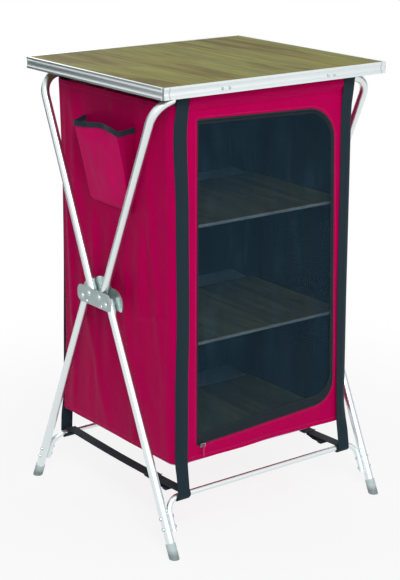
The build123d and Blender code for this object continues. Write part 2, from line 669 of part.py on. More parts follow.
# Side pocket: a tapered bag open at the top, its back the left panel itself
POCKET_X = -CLOTH_X - SOFT_GAP
POCKET_MOUTH_Z = POCKET_TOP_Z - POCKET_BINDING_H
POCKET_SECTIONS = ((POCKET_LOW_Z, POCKET_LOW_OUT, POCKET_LOW_FRONT_Y, POCKET_LOW_REAR_Y),
                   (POCKET_MOUTH_Z, POCKET_OUT, POCKET_FRONT_Y, POCKET_REAR_Y))
with BuildPart() as side_pocket:
    for z, out, front, rear in POCKET_SECTIONS:
        with BuildSketch(Plane.XY.offset(z)):
            with Locations((POCKET_X - out / 2, (front + rear) / 2)):
                Rectangle(out, rear - front)
    loft()
    for z, out, front, rear in POCKET_SECTIONS:
        floor = CLOTH_T if z == POCKET_LOW_Z else 0
        with BuildSketch(Plane.XY.offset(z + floor)):
            with Locations((POCKET_X - (out - CLOTH_T) / 2, (front + rear) / 2)):
                Rectangle(out - CLOTH_T, rear - front - 2 * CLOTH_T)
    loft(mode=Mode.SUBTRACT)
save(side_pocket.part, "side_pocket")

with BuildPart() as pocket_binding:
    with BuildSketch(Plane.XY.offset(POCKET_TOP_Z - POCKET_BINDING_H)):
        with Locations((POCKET_X - POCKET_OUT / 2, (POCKET_FRONT_Y + POCKET_REAR_Y) / 2)):
            Rectangle(POCKET_OUT, POCKET_REAR_Y - POCKET_FRONT_Y)
        with Locations((POCKET_X - POCKET_OUT / 2 + CLOTH_T,
                        (POCKET_FRONT_Y + POCKET_REAR_Y) / 2)):
            Rectangle(POCKET_OUT, POCKET_REAR_Y - POCKET_FRONT_Y - 2 * CLOTH_T,
                      mode=Mode.SUBTRACT)
    extrude(amount=POCKET_BINDING_H)
save(pocket_binding.part, "pocket_binding")


# Webbing that hangs the cupboard: looped round the cross tube above and under the bar below
STRAP_Y = CLOTH_Y + SOFT_GAP + STRAP_T / 2
TOP_LOOP_R = TUBE_R + SOFT_GAP + STRAP_T / 2
TIE_LOOP_R = BAR_R + SOFT_GAP + STRAP_T / 2
LOW_LOOP_R = TIE_LOOP_R + SOFT_GAP + STRAP_T
TIE_END_Y = leg_y(BAR_Z)
for end, sy in ENDS:
    line = [(sy * (CROSS_Y + TOP_LOOP_R), CROSS_Z), (sy * STRAP_Y, CAB_TOP_Z - STRAP_RUN),
            (sy * STRAP_Y, CAB_LOW_Z), (sy * (TIE_END_Y + LOW_LOOP_R), BAR_Z)]
    for side, sx in SIDES:
        with BuildPart() as strap:
            with BuildSketch(Plane.YZ.offset(sx * STRAP_X - STRAP_W / 2)):
                with Locations((sy * TIE_END_Y, BAR_Z)):
                    Circle(LOW_LOOP_R + STRAP_T / 2)
                    Circle(LOW_LOOP_R - STRAP_T / 2, mode=Mode.SUBTRACT)
                with Locations((sy * TIE_END_Y, BAR_Z + LOW_LOOP_R)):
                    Rectangle(4 * LOW_LOOP_R, 2 * LOW_LOOP_R, mode=Mode.SUBTRACT)
                with Locations((sy * CROSS_Y, CROSS_Z)):
                    Circle(TOP_LOOP_R + STRAP_T / 2)
                with BuildLine():
                    Polyline(*ribbon(line, STRAP_T), close=True)
                make_face()
                with Locations((sy * CROSS_Y, CROSS_Z)):
                    Circle(TOP_LOOP_R - STRAP_T / 2, mode=Mode.SUBTRACT)
                with Locations((sy * TIE_END_Y, BAR_Z)):
                    Circle(LOW_LOOP_R - STRAP_T / 2, mode=Mode.SUBTRACT)
            extrude(amount=STRAP_W)
        save(strap.part, f"{end}_{side}_strap")

# Straps from front bar to rear bar that stop the legs from spreading, with buckle and tail
TIE_Z = BAR_Z + TIE_LOOP_R
BUCKLE_TOP_Z = TIE_Z - STRAP_T / 2 - SOFT_GAP
TAIL_Z = BUCKLE_TOP_Z - BUCKLE_T / 2
TAIL_Y = BUCKLE_Y - BUCKLE_L / 2 - SOFT_GAP
for side, sx in SIDES:
    tie_x = sx * STRAP_X - STRAP_W / 2
    with BuildPart() as tie:
        with BuildSketch(Plane.YZ.offset(tie_x)):
            with Locations((-TIE_END_Y, BAR_Z), (TIE_END_Y, BAR_Z)):
                Circle(TIE_LOOP_R + STRAP_T / 2)
            with Locations((0, TIE_Z)):
                Rectangle(2 * TIE_END_Y, STRAP_T)
            with Locations((-TIE_END_Y, BAR_Z), (TIE_END_Y, BAR_Z)):
                Circle(TIE_LOOP_R - STRAP_T / 2, mode=Mode.SUBTRACT)
        extrude(amount=STRAP_W)
    save(tie.part, f"{side}_depth_strap")

    with BuildPart() as tail:
        with BuildSketch(Plane.YZ.offset(tie_x)):
            with BuildLine():
                Polyline(*ribbon([(TAIL_Y, TAIL_Z), (TAIL_Y - 0.4 * TAIL_L, TAIL_Z - TAIL_SAG),
                                  (TAIL_Y - TAIL_L, TAIL_Z - 1.4 * TAIL_SAG)], STRAP_T), close=True)
            make_face()
        extrude(amount=STRAP_W)
    save(tail.part, f"{side}_strap_tail")

    with BuildPart() as buckle:
        with BuildSketch(Plane.XY.offset(BUCKLE_TOP_Z - BUCKLE_T)):
            with Locations((sx * STRAP_X, BUCKLE_Y)):
                RectangleRounded(STRAP_W + 2 * BUCKLE_RIM, BUCKLE_L, BUCKLE_RIM)
            with Locations((sx * STRAP_X, BUCKLE_Y - BUCKLE_L / 5),
                           (sx * STRAP_X, BUCKLE_Y + BUCKLE_L / 5)):
                Rectangle(STRAP_W + 2 * BUCKLE_SLOT_GAP, BUCKLE_L / 5, mode=Mode.SUBTRACT)
        extrude(amount=BUCKLE_T)
    save(buckle.part, f"{side}_buckle")
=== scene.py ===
"""Looks of a camping kitchen cupboard: a folding frame, a laminate worktop and a cloth body.

Sizes are in metres. X runs along the front, Y to the back and Z up from the floor.
"""
import bpy
from bpy.props import FloatProperty, FloatVectorProperty, PointerProperty
from math import copysign, cos, exp, pi, radians, sin, sqrt, tan
from mathutils import Matrix, Vector, noise


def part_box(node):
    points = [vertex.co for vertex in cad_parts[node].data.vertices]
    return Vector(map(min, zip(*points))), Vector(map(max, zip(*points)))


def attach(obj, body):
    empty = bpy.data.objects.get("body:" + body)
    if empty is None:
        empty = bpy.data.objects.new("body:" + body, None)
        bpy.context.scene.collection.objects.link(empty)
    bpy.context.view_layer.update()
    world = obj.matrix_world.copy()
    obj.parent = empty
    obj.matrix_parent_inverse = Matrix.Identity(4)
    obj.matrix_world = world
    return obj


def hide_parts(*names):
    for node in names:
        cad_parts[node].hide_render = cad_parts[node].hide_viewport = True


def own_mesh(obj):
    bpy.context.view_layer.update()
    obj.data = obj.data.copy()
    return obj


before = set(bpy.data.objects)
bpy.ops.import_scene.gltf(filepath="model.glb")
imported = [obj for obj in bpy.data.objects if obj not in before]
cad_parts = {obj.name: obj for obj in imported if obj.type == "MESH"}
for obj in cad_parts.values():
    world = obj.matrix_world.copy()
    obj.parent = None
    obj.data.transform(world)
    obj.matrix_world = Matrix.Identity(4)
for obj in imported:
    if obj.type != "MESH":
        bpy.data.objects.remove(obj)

bl_info = {
    "name": "Camping Kitchen Cupboard",
    "version": (1, 0, 0),
    "blender": (4, 5, 0),
    "location": "View3D > Sidebar > Cupboard",
    "description": "Dresses the frame of a folding camping cupboard in cloth, webbing, net and finishes",
    "category": "Object",
}

CLOTH_BODY = "hubs"
DOOR_BODY = "door"
SIDES = (("left", -1), ("right", 1))
ENDS = (("front", -1), ("rear", 1))
OUTWARD = (0, -1, 0)

# Places read from the frame, and the radii of its leg tubes and low bars
PANEL_LOW, PANEL_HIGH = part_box("left_side_panel")
DOOR_LOW, DOOR_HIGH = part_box("door_binding")
POCKET_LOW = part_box("side_pocket")[0]
MOUTH_LOW, MOUTH_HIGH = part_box("pocket_binding")
FRONT_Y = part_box("front_border")[0].y
CLOTH_LOW_Z = PANEL_LOW.z
CLOTH_TOP_Z = PANEL_HIGH.z
CLOTH_H = CLOTH_TOP_Z - CLOTH_LOW_Z
CLOTH_X = -PANEL_LOW.x
CLOTH_Y = PANEL_HIGH.y
TUBE_R = 0.0095
BAR_R = 0.0065
CROSS_Y = -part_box("upper_front_tube")[0].y - TUBE_R
CROSS_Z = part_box("upper_front_tube")[1].z - TUBE_R
BAR_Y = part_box("rear_bottom_bar")[0].y + BAR_R
BAR_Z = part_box("front_bottom_bar")[1].z - BAR_R

# Where the sewing starts: the side cloth's face, a seam's lap and the turn at the rear corners
CLOTH_FACE = CLOTH_X - 0.0020
SEAM_LAP = 0.0006
REAR_TURN = 0.008

# Thicknesses of the net, the bindings, the zip's tape and the pocket
NET_T = 0.0004
BINDING_T = 0.0013
ZIP_TAPE_T = 0.0010
POCKET_T = 0.0010
POCKET_TAPE_T = 0.0007

# How much wider than the frame's the hanging straps are in the photo
HANGING_EXTRA_W = 0.005

# Radii of the webbing's loops round the cross tubes, under the low bars and round their ties
TOP_LOOP_R = 0.0108
LOW_LOOP_R = 0.0101
TIE_LOOP_R = BAR_R + 0.0013

# Where two rails meet, and where painted shade on the pocket's gusset starts, with its lean
RIM_CORNER = (0.2975, 0.2575)
POCKET_GUSSET_SHADE = (0.4355, 0.216)

# The door's corners, from low at the hinge round to high at the hinge, and their radii
DOOR_CORNERS = (Vector((DOOR_LOW.x, DOOR_LOW.z)),
                Vector((DOOR_HIGH.x + 0.001, DOOR_LOW.z + 0.019)),
                Vector((DOOR_HIGH.x - 0.0175, DOOR_HIGH.z - 0.0175)),
                Vector((DOOR_LOW.x, DOOR_HIGH.z - 0.0060)))
DOOR_RADII = (0.0, 0.050, 0.070, 0.0)
DOOR_SPANS = (40, 72, 40, 72)


def length(name, description, default, low, high):
    """A length that can be set."""
    return FloatProperty(name=name, description=description, default=default, min=low, max=high,
                         unit="LENGTH")


def shown_colour(name, description, default):
    """A colour that can be set, as a screen shows it."""
    return FloatVectorProperty(name=name, description=description, default=default, min=0.0, max=1.0,
                               subtype="COLOR_GAMMA", size=3)


class CupboardSizes(bpy.types.PropertyGroup):
    """Sizes of the cloth, the webbing and their sewing."""

    cloth_thickness: length("Cloth thickness", "Thickness of the coated cloth",
                            0.0012, 0.0004, 0.0019)
    fold_depth: length("Fold depth", "How far the side cloth's folds stand out", 0.0105, 0.0, 0.012)
    rear_bow: length("Rear bow", "How far the rear corners draw in half way up", 0.010, 0.0, 0.012)
    corner_radius: length("Corner radius", "Soft radius of the upright cloth corners",
                          0.019, 0.006, 0.022)
    net_fold_depth: length("Net fold depth", "Depth of the net's upright folds", 0.0034, 0.0, 0.005)
    low_binding: length("Low binding", "Width of the dark band along the door's foot",
                        0.021, 0.008, 0.040)
    side_binding: length("Side binding", "Width of the dark band on the other sides",
                         0.0045, 0.003, 0.020)
    webbing_thickness: length("Webbing thickness", "Thickness of the webbing",
                              0.0018, 0.0008, 0.0020)
    tooth_pitch: length("Zip tooth pitch", "Distance from tooth to tooth", 0.0036, 0.002, 0.008)
    stitch_pitch: length("Stitch pitch", "Distance from stitch to stitch", 0.0058, 0.003, 0.012)


class CupboardColours(bpy.types.PropertyGroup):
    """Colours of the finishes, as they look in plain light."""

    cloth: shown_colour("Cloth", "Crimson of the coated cloth", (0.745, 0.000, 0.325))
    lining: shown_colour("Lining", "Dark inner face of the cloth", (0.26, 0.31, 0.35))
    webbing: shown_colour("Webbing", "Webbing and bindings", (0.105, 0.172, 0.208))
    net: shown_colour("Net", "Threads of the door's net", (0.092, 0.198, 0.256))
    sling: shown_colour("Sling", "Cloth that carries the shelves", (0.74, 0.88, 0.95))
    aluminium: shown_colour("Aluminium", "Bright drawn tube", (0.915, 0.945, 0.950))
    hub: shown_colour("Hub", "Pressed hub plates", (0.76, 0.83, 0.82))
    worktop: shown_colour("Worktop", "Light staves of the worktop laminate", (0.595, 0.583, 0.325))
    shelf: shown_colour("Shelf", "Shelf laminate", (0.60, 0.60, 0.44))
    rubber: shown_colour("Rubber", "Foot caps", (0.80, 0.86, 0.86))


def linear(colour, shade=1.0):
    """A display colour as the linear one that a shader takes, made lighter or darker."""
    return tuple(min(1.0, (c / 12.92 if c <= 0.04045 else ((c + 0.055) / 1.055) ** 2.4) * shade)
                 for c in colour) + (1.0,)


class Wires:
    """A tree of nodes, wired up one by one."""

    def __init__(self, block):
        block.use_nodes = True
        self.tree = block.node_tree
        self.tree.nodes.clear()

    def add(self, kind, inputs=None, **settings):
        """A node with its settings, and its inputs set or linked."""
        node = self.tree.nodes.new(kind)
        for name, value in settings.items():
            setattr(node, name, value)
        for name, value in (inputs or {}).items():
            if isinstance(value, bpy.types.NodeSocket):
                self.tree.links.new(value, node.inputs[name])
            else:
                node.inputs[name].default_value = value
        return node

    def place(self, scale=(1, 1, 1), source="Object", turn=(0, 0, 0)):
        """Where a pattern lies, in metres times a scale."""
        coordinates = self.add("ShaderNodeTexCoord").outputs[source]
        return self.add("ShaderNodeMapping", {"Vector": coordinates, "Scale": scale,
                                              "Rotation": turn}).outputs["Vector"]

    def grain(self, vector, scale, detail=3.0, roughness=0.55, distortion=0.0):
        """Seeded unevenness from 0 to 1."""
        return self.add("ShaderNodeTexNoise", {"Vector": vector, "Scale": scale, "Detail": detail,
                                               "Roughness": roughness,
                                               "Distortion": distortion}).outputs["Fac"]

    def bands(self, vector, scale, direction, distortion=0.0):
        """Even ridges across one direction, from 0 to 1."""
        return self.add("ShaderNodeTexWave", {"Vector": vector, "Scale": scale, "Distortion": distortion,
                                              "Detail": 1.0}, bands_direction=direction).outputs["Fac"]

    def split(self, vector):
        """A vector's three parts."""
        return self.add("ShaderNodeSeparateXYZ", {0: vector}).outputs

    def spread(self, value, low, high, start=0.0, stop=1.0, **settings):
        """A value from start to stop, spread between two numbers."""
        return self.add("ShaderNodeMapRange", {"Value": value, "From Min": start, "From Max": stop,
                                               "To Min": low, "To Max": high}, **settings).outputs[0]

    def sum(self, first, second, operation="ADD"):
        """Two values joined by one operation."""
        return self.add("ShaderNodeMath", {0: first, 1: second}, operation=operation).outputs[0]

    def ramp(self, value, *stops):
        """Colour stops along a value."""
        node = self.add("ShaderNodeValToRGB", {"Fac": value})
        elements = node.color_ramp.elements
        while len(elements) < len(stops):
            elements.new(0.5)
        for element, (position, colour) in zip(elements, stops):
            element.position = position
            element.color = colour
        return node.outputs["Color"]

    def mask(self, value, low, high, top=1.0):
        """A grey that rises from black at low to its top at high."""
        return self.ramp(value, (low, (0, 0, 0, 1)), (high, (top, top, top, 1)))

    def blend(self, factor, first, second):
        """Two colours mixed by a factor."""
        return self.add("ShaderNodeMix", {0: factor, 6: first, 7: second}, data_type="RGBA").outputs[2]

    def shades(self, value, low, high, colour, dark, pale):
        """Two shades of a colour, mixed by a value that is spread between two numbers."""
        return self.blend(self.spread(value, low, high), linear(colour, dark), linear(colour, pale))

    def stain(self, tone, pattern, amount, colour):
        """A tone with a colour laid over it, by a pattern times an amount."""
        return self.blend(self.sum(pattern, amount, "MULTIPLY"), tone, colour)

    def seen(self):
        """1 for the camera, reflections and what shows through the net, 0 for all other light."""
        rays = self.add("ShaderNodeLightPath").outputs
        either = self.sum(rays["Is Camera Ray"], rays["Is Glossy Ray"], "MAXIMUM")
        return self.sum(either, rays["Is Transmission Ray"], "MAXIMUM")

    def raise_by(self, height, distance, strength=1.0, under=None):
        """Bump of a height in metres, on top of another bump."""
        inputs = {"Height": height, "Distance": distance, "Strength": strength}
        if under is not None:
            inputs["Normal"] = under
        return self.add("ShaderNodeBump", inputs).outputs["Normal"]


class Finish(Wires):
    """A procedural material."""

    def __init__(self, name, colour, roughness, metallic=0.0, **sockets):
        self.material = bpy.data.materials.new(name)
        super().__init__(self.material)
        self.shader = self.add("ShaderNodeBsdfPrincipled", {"Base Color": colour, "Roughness": roughness,
                                                            "Metallic": metallic})
        for socket, value in sockets.items():
            self.shader.inputs[socket.replace("_", " ")].default_value = value
        self.output = self.add("ShaderNodeOutputMaterial", {"Surface": self.shader.outputs["BSDF"]})
        self.material.diffuse_color = colour

    def wear(self, **links):
        """Link patterns into the shader's sockets, and give the material."""
        for socket, value in links.items():
            self.tree.links.new(value, self.shader.inputs[socket.replace("_", " ")])
        return self.material


def coated_cloth(name, colour, source="UV", gusset=None):
    """Plain-woven, coated polyester; creases get a painted highlight, a gusset line painted shade."""
    shine = linear(colour, 2.2)
    finish = Finish(name, linear(colour), 0.58, Sheen_Weight=0.10, Sheen_Roughness=0.40, Sheen_Tint=shine,
                    Specular_IOR_Level=0.12, Specular_Tint=shine)
    cloth = finish.place(source=source)
    body = finish.place()
    warp = finish.bands(cloth, 200.0, "X", 0.3)
    weft = finish.bands(cloth, 200.0, "Y", 0.3)
    weave = finish.sum(warp, weft, "MULTIPLY")
    slub = finish.grain(finish.place((60, 900, 1), source), 1.0, 2.0)
    creases = finish.grain(finish.place((1.0, 1.0, 0.40)), 21.0, 4.0, 0.62, 0.8)
    broad = finish.grain(body, 3.2, 2.0)
    tone = finish.shades(broad, 0.0, 0.55, colour, 0.86, 1.12)
    # Painted highlight: the cloth is painted lighter where the crease bump stands high.
    tone = finish.blend(finish.mask(creases, 0.40, 0.72, 0.45), tone,
                        linear(colour, 1.20))
    tone = finish.blend(finish.spread(weave, 0.20, 0.0), tone, linear(colour, 0.66))
    tone = finish.blend(0.20, tone, finish.blend(slub, linear(colour, 0.80), linear(colour, 1.15)))
    # Painted shade: past the gusset's slanted line the pocket's cloth is painted darker, for the shade in its
    # folded gusset.
    if gusset is not None:
        split = finish.split(cloth)
        lean = finish.sum(finish.sum(split["Y"], gusset[1], "MULTIPLY"), split["X"])
        deep = finish.spread(lean, 0.0, 1.0, gusset[0], gusset[0] + 0.004)
        tone = finish.blend(deep, tone, linear(colour, 0.46))
    normal = finish.raise_by(creases, 0.0035, 0.45)
    normal = finish.raise_by(weave, 0.00022, 0.45, normal)
    return finish.wear(Base_Color=tone, Roughness=finish.spread(broad, 0.50, 0.68), Normal=normal)


def woven_webbing(name, colour, source="UV"):
    """Ribbed webbing: fine ribs along its length, crossed by the picks of the weave."""
    finish = Finish(name, linear(colour), 0.66, Sheen_Weight=0.08, Sheen_Roughness=0.5,
                    Specular_IOR_Level=0.12)
    tape = finish.place(source=source)
    ribs = finish.bands(tape, 120.0, "X")
    picks = finish.bands(tape, 160.0, "DIAGONAL", 0.4)
    weave = finish.sum(finish.sum(ribs, 0.65, "MULTIPLY"), finish.sum(picks, 0.35, "MULTIPLY"))
    fade = finish.grain(finish.place(), 26.0, 3.0)
    tone = finish.shades(weave, 0.0, 0.8, colour, 0.62, 1.15)
    tone = finish.blend(finish.spread(fade, 0.0, 0.30), tone, linear(colour, 1.5))
    return finish.wear(Base_Color=tone, Roughness=finish.spread(fade, 0.58, 0.76),
                       Normal=finish.raise_by(weave, 0.0004, 0.6))


def door_netting(name, colour):
    """Fine knitted net: dark threads round small open holes."""
    finish = Finish(name, linear(colour), 0.55, Sheen_Weight=0.05, Specular_IOR_Level=0.12)
    plan = finish.place(source="UV")
    across = finish.bands(plan, 190.0, "X")
    upward = finish.bands(plan, 190.0, "Y")
    threads = finish.sum(across, upward, "MAXIMUM")
    folds = finish.grain(finish.place((20, 1, 1.5)), 1.0, 3.0, 0.6, 0.4)
    drag = finish.grain(finish.place((26, 1, 9), turn=(0, radians(-32), 0)), 1.0, 2.0, 0.6)
    cover = finish.sum(finish.spread(threads, 0.10, 0.50), finish.spread(folds, -0.10, 0.16))
    # Painted light and shade: the net is painted lighter and darker along its fold streaks, and lighter along
    # diagonal drag lines.
    tone = finish.shades(folds, 0.0, 0.8, colour, 0.75, 1.35)
    tone = finish.blend(finish.mask(drag, 0.55, 0.70, 0.45), tone,
                        linear(colour, 2.0))
    return finish.wear(Base_Color=tone, Alpha=cover, Normal=finish.raise_by(threads, 0.0003, 0.5))


def drawn_aluminium(name, colour, streaks=(240, 240, 9), roughness=0.30, corner=None):
    """Anodised aluminium with fine draw lines, clouding and scuffs; corner gives where two rails meet."""
    finish = Finish(name, linear(colour), roughness, 1.0)
    lines = finish.grain(finish.place(streaks), 1.0, 4.0, 0.7)
    cloud = finish.grain(finish.place(), 14.0, 3.0)
    scuffs = finish.grain(finish.place(), 180.0, 5.0, 0.75, 1.2)
    scuffs = finish.mask(scuffs, 0.62, 0.78)
    tone = finish.shades(cloud, 0.0, 0.5, colour, 0.90, 1.04)
    tone = finish.stain(tone, scuffs, 0.22, linear(colour, 0.62))
    if corner is not None:
        split = finish.split(finish.place())
        across, back = [finish.sum(split[axis], 0.0, "ABSOLUTE") for axis in "XY"]
        end = finish.sum(back, corner[1], "GREATER_THAN")
        for place, depth in ((corner[0], 0.75), (corner[0] - 0.0145, 0.30)):
            off = finish.sum(finish.sum(across, place, "SUBTRACT"), 0.0, "ABSOLUTE")
            seam = finish.spread(off, 0.0, depth, 0.0022, 0.0010)
            tone = finish.stain(tone, seam, end, linear(colour, 0.10))
    rough = finish.sum(finish.spread(lines, roughness - 0.06, roughness + 0.10),
                       finish.sum(scuffs, 0.12, "MULTIPLY"))
    return finish.wear(Base_Color=tone, Roughness=rough, Normal=finish.raise_by(lines, 0.00006, 0.35))


def pressed_alloy(name, colour):
    """Pressed and tumbled plate with a fine stippled surface."""
    finish = Finish(name, linear(colour), 0.42, 0.85)
    stipple = finish.grain(finish.place(), 420.0, 3.0, 0.6)
    cloud = finish.grain(finish.place(), 45.0, 3.0)
    tone = finish.shades(cloud, 0.0, 0.7, colour, 0.72, 1.12)
    normal = finish.raise_by(stipple, 0.00025, 0.55, finish.raise_by(cloud, 0.0008, 0.3))
    return finish.wear(Base_Color=tone, Roughness=finish.spread(cloud, 0.34, 0.52), Normal=normal)


def wood_laminate(name, colour, stave_w, contrast):
    """Printed laminate of joined staves that run front to back, with grain, flecks and knots."""
    finish = Finish(name, linear(colour), 0.50, Specular_IOR_Level=0.02)
    board = finish.place(turn=(0, 0, pi / 2))
    staves = finish.add("ShaderNodeTexBrick", {
        "Vector": board, "Color1": (0.0, 0.0, 0.0, 1), "Color2": (1.0, 1.0, 1.0, 1),
        "Mortar": (0.5, 0.5, 0.5, 1), "Scale": 1.0, "Mortar Size": 0.0007, "Mortar Smooth": 0.3,
        "Bias": 0.0, "Brick Width": 0.43, "Row Height": stave_w}, offset=0.37, offset_frequency=2,
        squash=1.0, squash_frequency=1)
    stave = staves.outputs["Color"]
    joint = staves.outputs["Fac"]
    shift = finish.add("ShaderNodeVectorMath", {0: finish.place((46, 4.2, 1)), 1: stave},
                       operation="ADD").outputs[0]
    streaks = finish.grain(shift, 1.0, 6.0, 0.62, 0.4)
    bold = finish.grain(finish.place((19, 2.0, 1)), 1.0, 5.0, 0.60, 0.6)
    fibres = finish.grain(finish.place((420, 9, 1)), 1.0, 3.0, 0.6)
    knots = finish.add("ShaderNodeTexVoronoi", {"Vector": finish.place((5.4, 2.2, 1)), "Scale": 1.0,
                                                "Randomness": 1.0}).outputs["Distance"]
    knots = finish.ramp(knots, (0.02, (1, 1, 1, 1)), (0.085, (0, 0, 0, 1)))
    veins = finish.grain(finish.place((62, 3.0, 1)), 1.0, 4.0, 0.6, 0.4)
    pale, brown = linear(colour, 1.34), linear((colour[0] * 0.77, colour[1] * 0.67, colour[2] * 0.62))
    warm = linear((colour[0] * 1.02, colour[1] * 0.93, colour[2] * 0.78))
    tone = finish.blend(finish.mask(streaks, 0.36, 0.64),
                        linear(colour, 0.80), pale)
    tone = finish.stain(tone, stave, 0.45 * contrast, warm)
    dark = finish.mask(bold, 0.49, 0.62)
    tone = finish.stain(tone, dark, 0.90 * contrast, brown)
    fine = finish.mask(veins, 0.56, 0.70)
    tone = finish.stain(tone, fine, 0.60 * contrast, linear(colour, 0.42))
    tone = finish.blend(finish.spread(fibres, 0.0, 0.28 * contrast), tone, linear(colour, 0.60))
    tone = finish.stain(tone, knots, 0.85 * contrast, linear(colour, 0.26))
    tone = finish.stain(tone, joint, 0.30, linear(colour, 0.50))
    normal = finish.raise_by(fibres, 0.0001, 0.25, finish.raise_by(joint, -0.0002, 0.4))
    return finish.wear(Base_Color=tone, Roughness=finish.spread(streaks, 0.38, 0.56), Normal=normal)


def foot_cap(name, colour):
    """Moulded cap, pale like the tube above and darker round its tread."""
    finish = Finish(name, linear(colour), 0.50, Specular_IOR_Level=0.3)
    height = finish.split(finish.place())["Z"]
    grain = finish.grain(finish.place(), 300.0, 2.0)
    scuff = finish.grain(finish.place(), 70.0, 4.0, 0.7)
    height = finish.sum(height, finish.sum(scuff, 0.006, "MULTIPLY"))
    tread = finish.spread(height, 1.0, 0.0, 0.012, 0.024)
    tone = finish.blend(tread, linear(colour), linear(colour, 0.42))
    tone = finish.blend(finish.spread(scuff, 0.0, 0.35), tone, linear(colour, 0.6))
    return finish.wear(Base_Color=tone, Roughness=finish.spread(scuff, 0.42, 0.62),
                       Normal=finish.raise_by(grain, 0.0003, 0.4))


def moulded(name, colour, roughness, pebble, metallic=0.0):
    """Moulded rubber or plastic with a fine pebbled surface, rubbed paler in places."""
    finish = Finish(name, linear(colour), roughness, metallic, Specular_IOR_Level=0.4)
    pebbles = finish.grain(finish.place(), pebble, 2.0)
    rub = finish.grain(finish.place(), 60.0, 4.0, 0.7)
    rub = finish.mask(rub, 0.52, 0.70)
    tone = finish.blend(finish.sum(rub, 0.35, "MULTIPLY"), linear(colour, 0.92), linear(colour, 1.5))
    return finish.wear(Base_Color=tone, Roughness=finish.spread(rub, roughness, roughness + 0.12),
                       Normal=finish.raise_by(pebbles, 0.0003, 0.5))


def plated_steel(name, colour):
    """Zinc-plated steel of rivets, pins and the zip's slider."""
    finish = Finish(name, linear(colour), 0.25, 1.0)
    cloud = finish.grain(finish.place(), 160.0, 4.0, 0.7)
    tone = finish.blend(cloud, linear(colour, 0.70), linear(colour, 1.08))
    return finish.wear(Base_Color=tone, Roughness=finish.spread(cloud, 0.18, 0.42),
                       Normal=finish.raise_by(cloud, 0.0001, 0.4))


def thread(name, colour):
    """Twisted sewing thread."""
    finish = Finish(name, linear(colour), 0.55, Sheen_Weight=0.3)
    twist = finish.grain(finish.place((900, 900, 900)), 1.0, 1.0)
    return finish.wear(Base_Color=finish.blend(twist, linear(colour, 0.7), linear(colour, 1.2)),
                       Normal=finish.raise_by(twist, 0.0001, 0.4))


def finishes():
    """All finishes of the cupboard by the name of their slot, made once."""
    colours = bpy.context.scene.cupboard_colours
    if not FINISHES:
        FINISHES.update({
            "frame_aluminium": drawn_aluminium("Drawn tube", colours.aluminium),
            "rim_aluminium": drawn_aluminium("Extruded rim", colours.aluminium, (4, 4, 900), 0.34,
                                             RIM_CORNER),
            "hub_alloy": pressed_alloy("Hub plate", colours.hub),
            "rivet_steel": plated_steel("Plated rivets", (0.80, 0.84, 0.84)),
            "worktop_laminate": wood_laminate("Worktop laminate", colours.worktop, 0.074, 1.0),
            "shelf_laminate": wood_laminate("Shelf laminate", colours.shelf, 0.110, 0.55),
            "foot_rubber": foot_cap("Foot rubber", colours.rubber),
            "moulded_plastic": moulded("Buckle plastic", (0.26, 0.32, 0.36), 0.42, 420.0),
            "zip_metal": plated_steel("Zip slider metal", (0.62, 0.66, 0.68)),
            "webbing": woven_webbing("Webbing", colours.webbing),
            "net": door_netting("Door net", colours.net),
            "sling_cloth": coated_cloth("Sling cloth", colours.sling),
            "red_cloth": coated_cloth("Crimson cloth", colours.cloth),
            "lining": coated_cloth("Dark lining", colours.lining),
            # Painted light: the pocket's cloth is a lighter copy of the crimson, for the light on its tilted
            # face.
            "pocket_cloth": coated_cloth("Pocket cloth with painted light", (0.850, 0.040, 0.395), gusset=POCKET_GUSSET_SHADE),
            "shelf_strip": moulded("Shelf edge strip", (0.80, 0.87, 0.89), 0.40, 500.0),
            "zip_teeth": moulded("Zip teeth", (0.12, 0.15, 0.17), 0.35, 500.0),
            "zip_pull": moulded("Crimson pull", colours.cloth, 0.40, 500.0),
            "door_tape": woven_webbing("Door tape", [c * 0.82 for c in colours.webbing]),
            "red_thread": thread("Crimson thread", colours.cloth),
            "dark_thread": thread("Dark thread", colours.webbing),
        })
    return FINISHES


FINISHES = {}


def select_only(piece):
    """Leave one piece selected and active."""
    bpy.ops.object.select_all(action="DESELECT")
    piece.select_set(True)
    bpy.context.view_layer.objects.active = piece


def modify(piece, kind, **settings):
    """Add a modifier with its settings and apply it."""
    modifier = piece.modifiers.new(kind.title(), kind)
    for name, value in settings.items():
        setattr(modifier, name, value)
    select_only(piece)
    bpy.ops.object.modifier_apply(modifier=modifier.name)


def edited(*steps):
    """Run mesh operators on the active piece in edit mode, each with its settings."""
    bpy.ops.object.mode_set(mode="EDIT")
    for operator, settings in steps:
        operator(**settings)
    bpy.ops.object.mode_set(mode="OBJECT")


def fresh(operator, name, **settings):
    """A new primitive with its name, made while nothing else is selected."""
    bpy.ops.object.select_all(action="DESELECT")
    operator(**settings)
    piece = bpy.context.object
    piece.name = piece.data.name = name
    return piece


def block(name, size):
    """A block of a size, round the origin."""
    piece = fresh(bpy.ops.mesh.primitive_cube_add, name, size=1.0)
    piece.scale = size
    bpy.ops.object.transform_apply(location=False, rotation=False, scale=True)
    return piece


def merge_seam(piece):
    """Join the first and last edge of a sheet that closes on itself."""
    select_only(piece)
    edited((bpy.ops.mesh.select_all, {"action": "SELECT"}),
           (bpy.ops.mesh.remove_doubles, {"threshold": 0.00002}),
           (bpy.ops.mesh.normals_make_consistent, {"inside": False}))
    if sum(face.normal.y * face.area for face in piece.data.polygons) > 0:
        piece.data.flip_normals()


def smooth(piece, angle=38):
    """Smooth shading, with edges sharper than an angle kept."""
    select_only(piece)
    bpy.ops.object.shade_smooth_by_angle(angle=radians(angle))


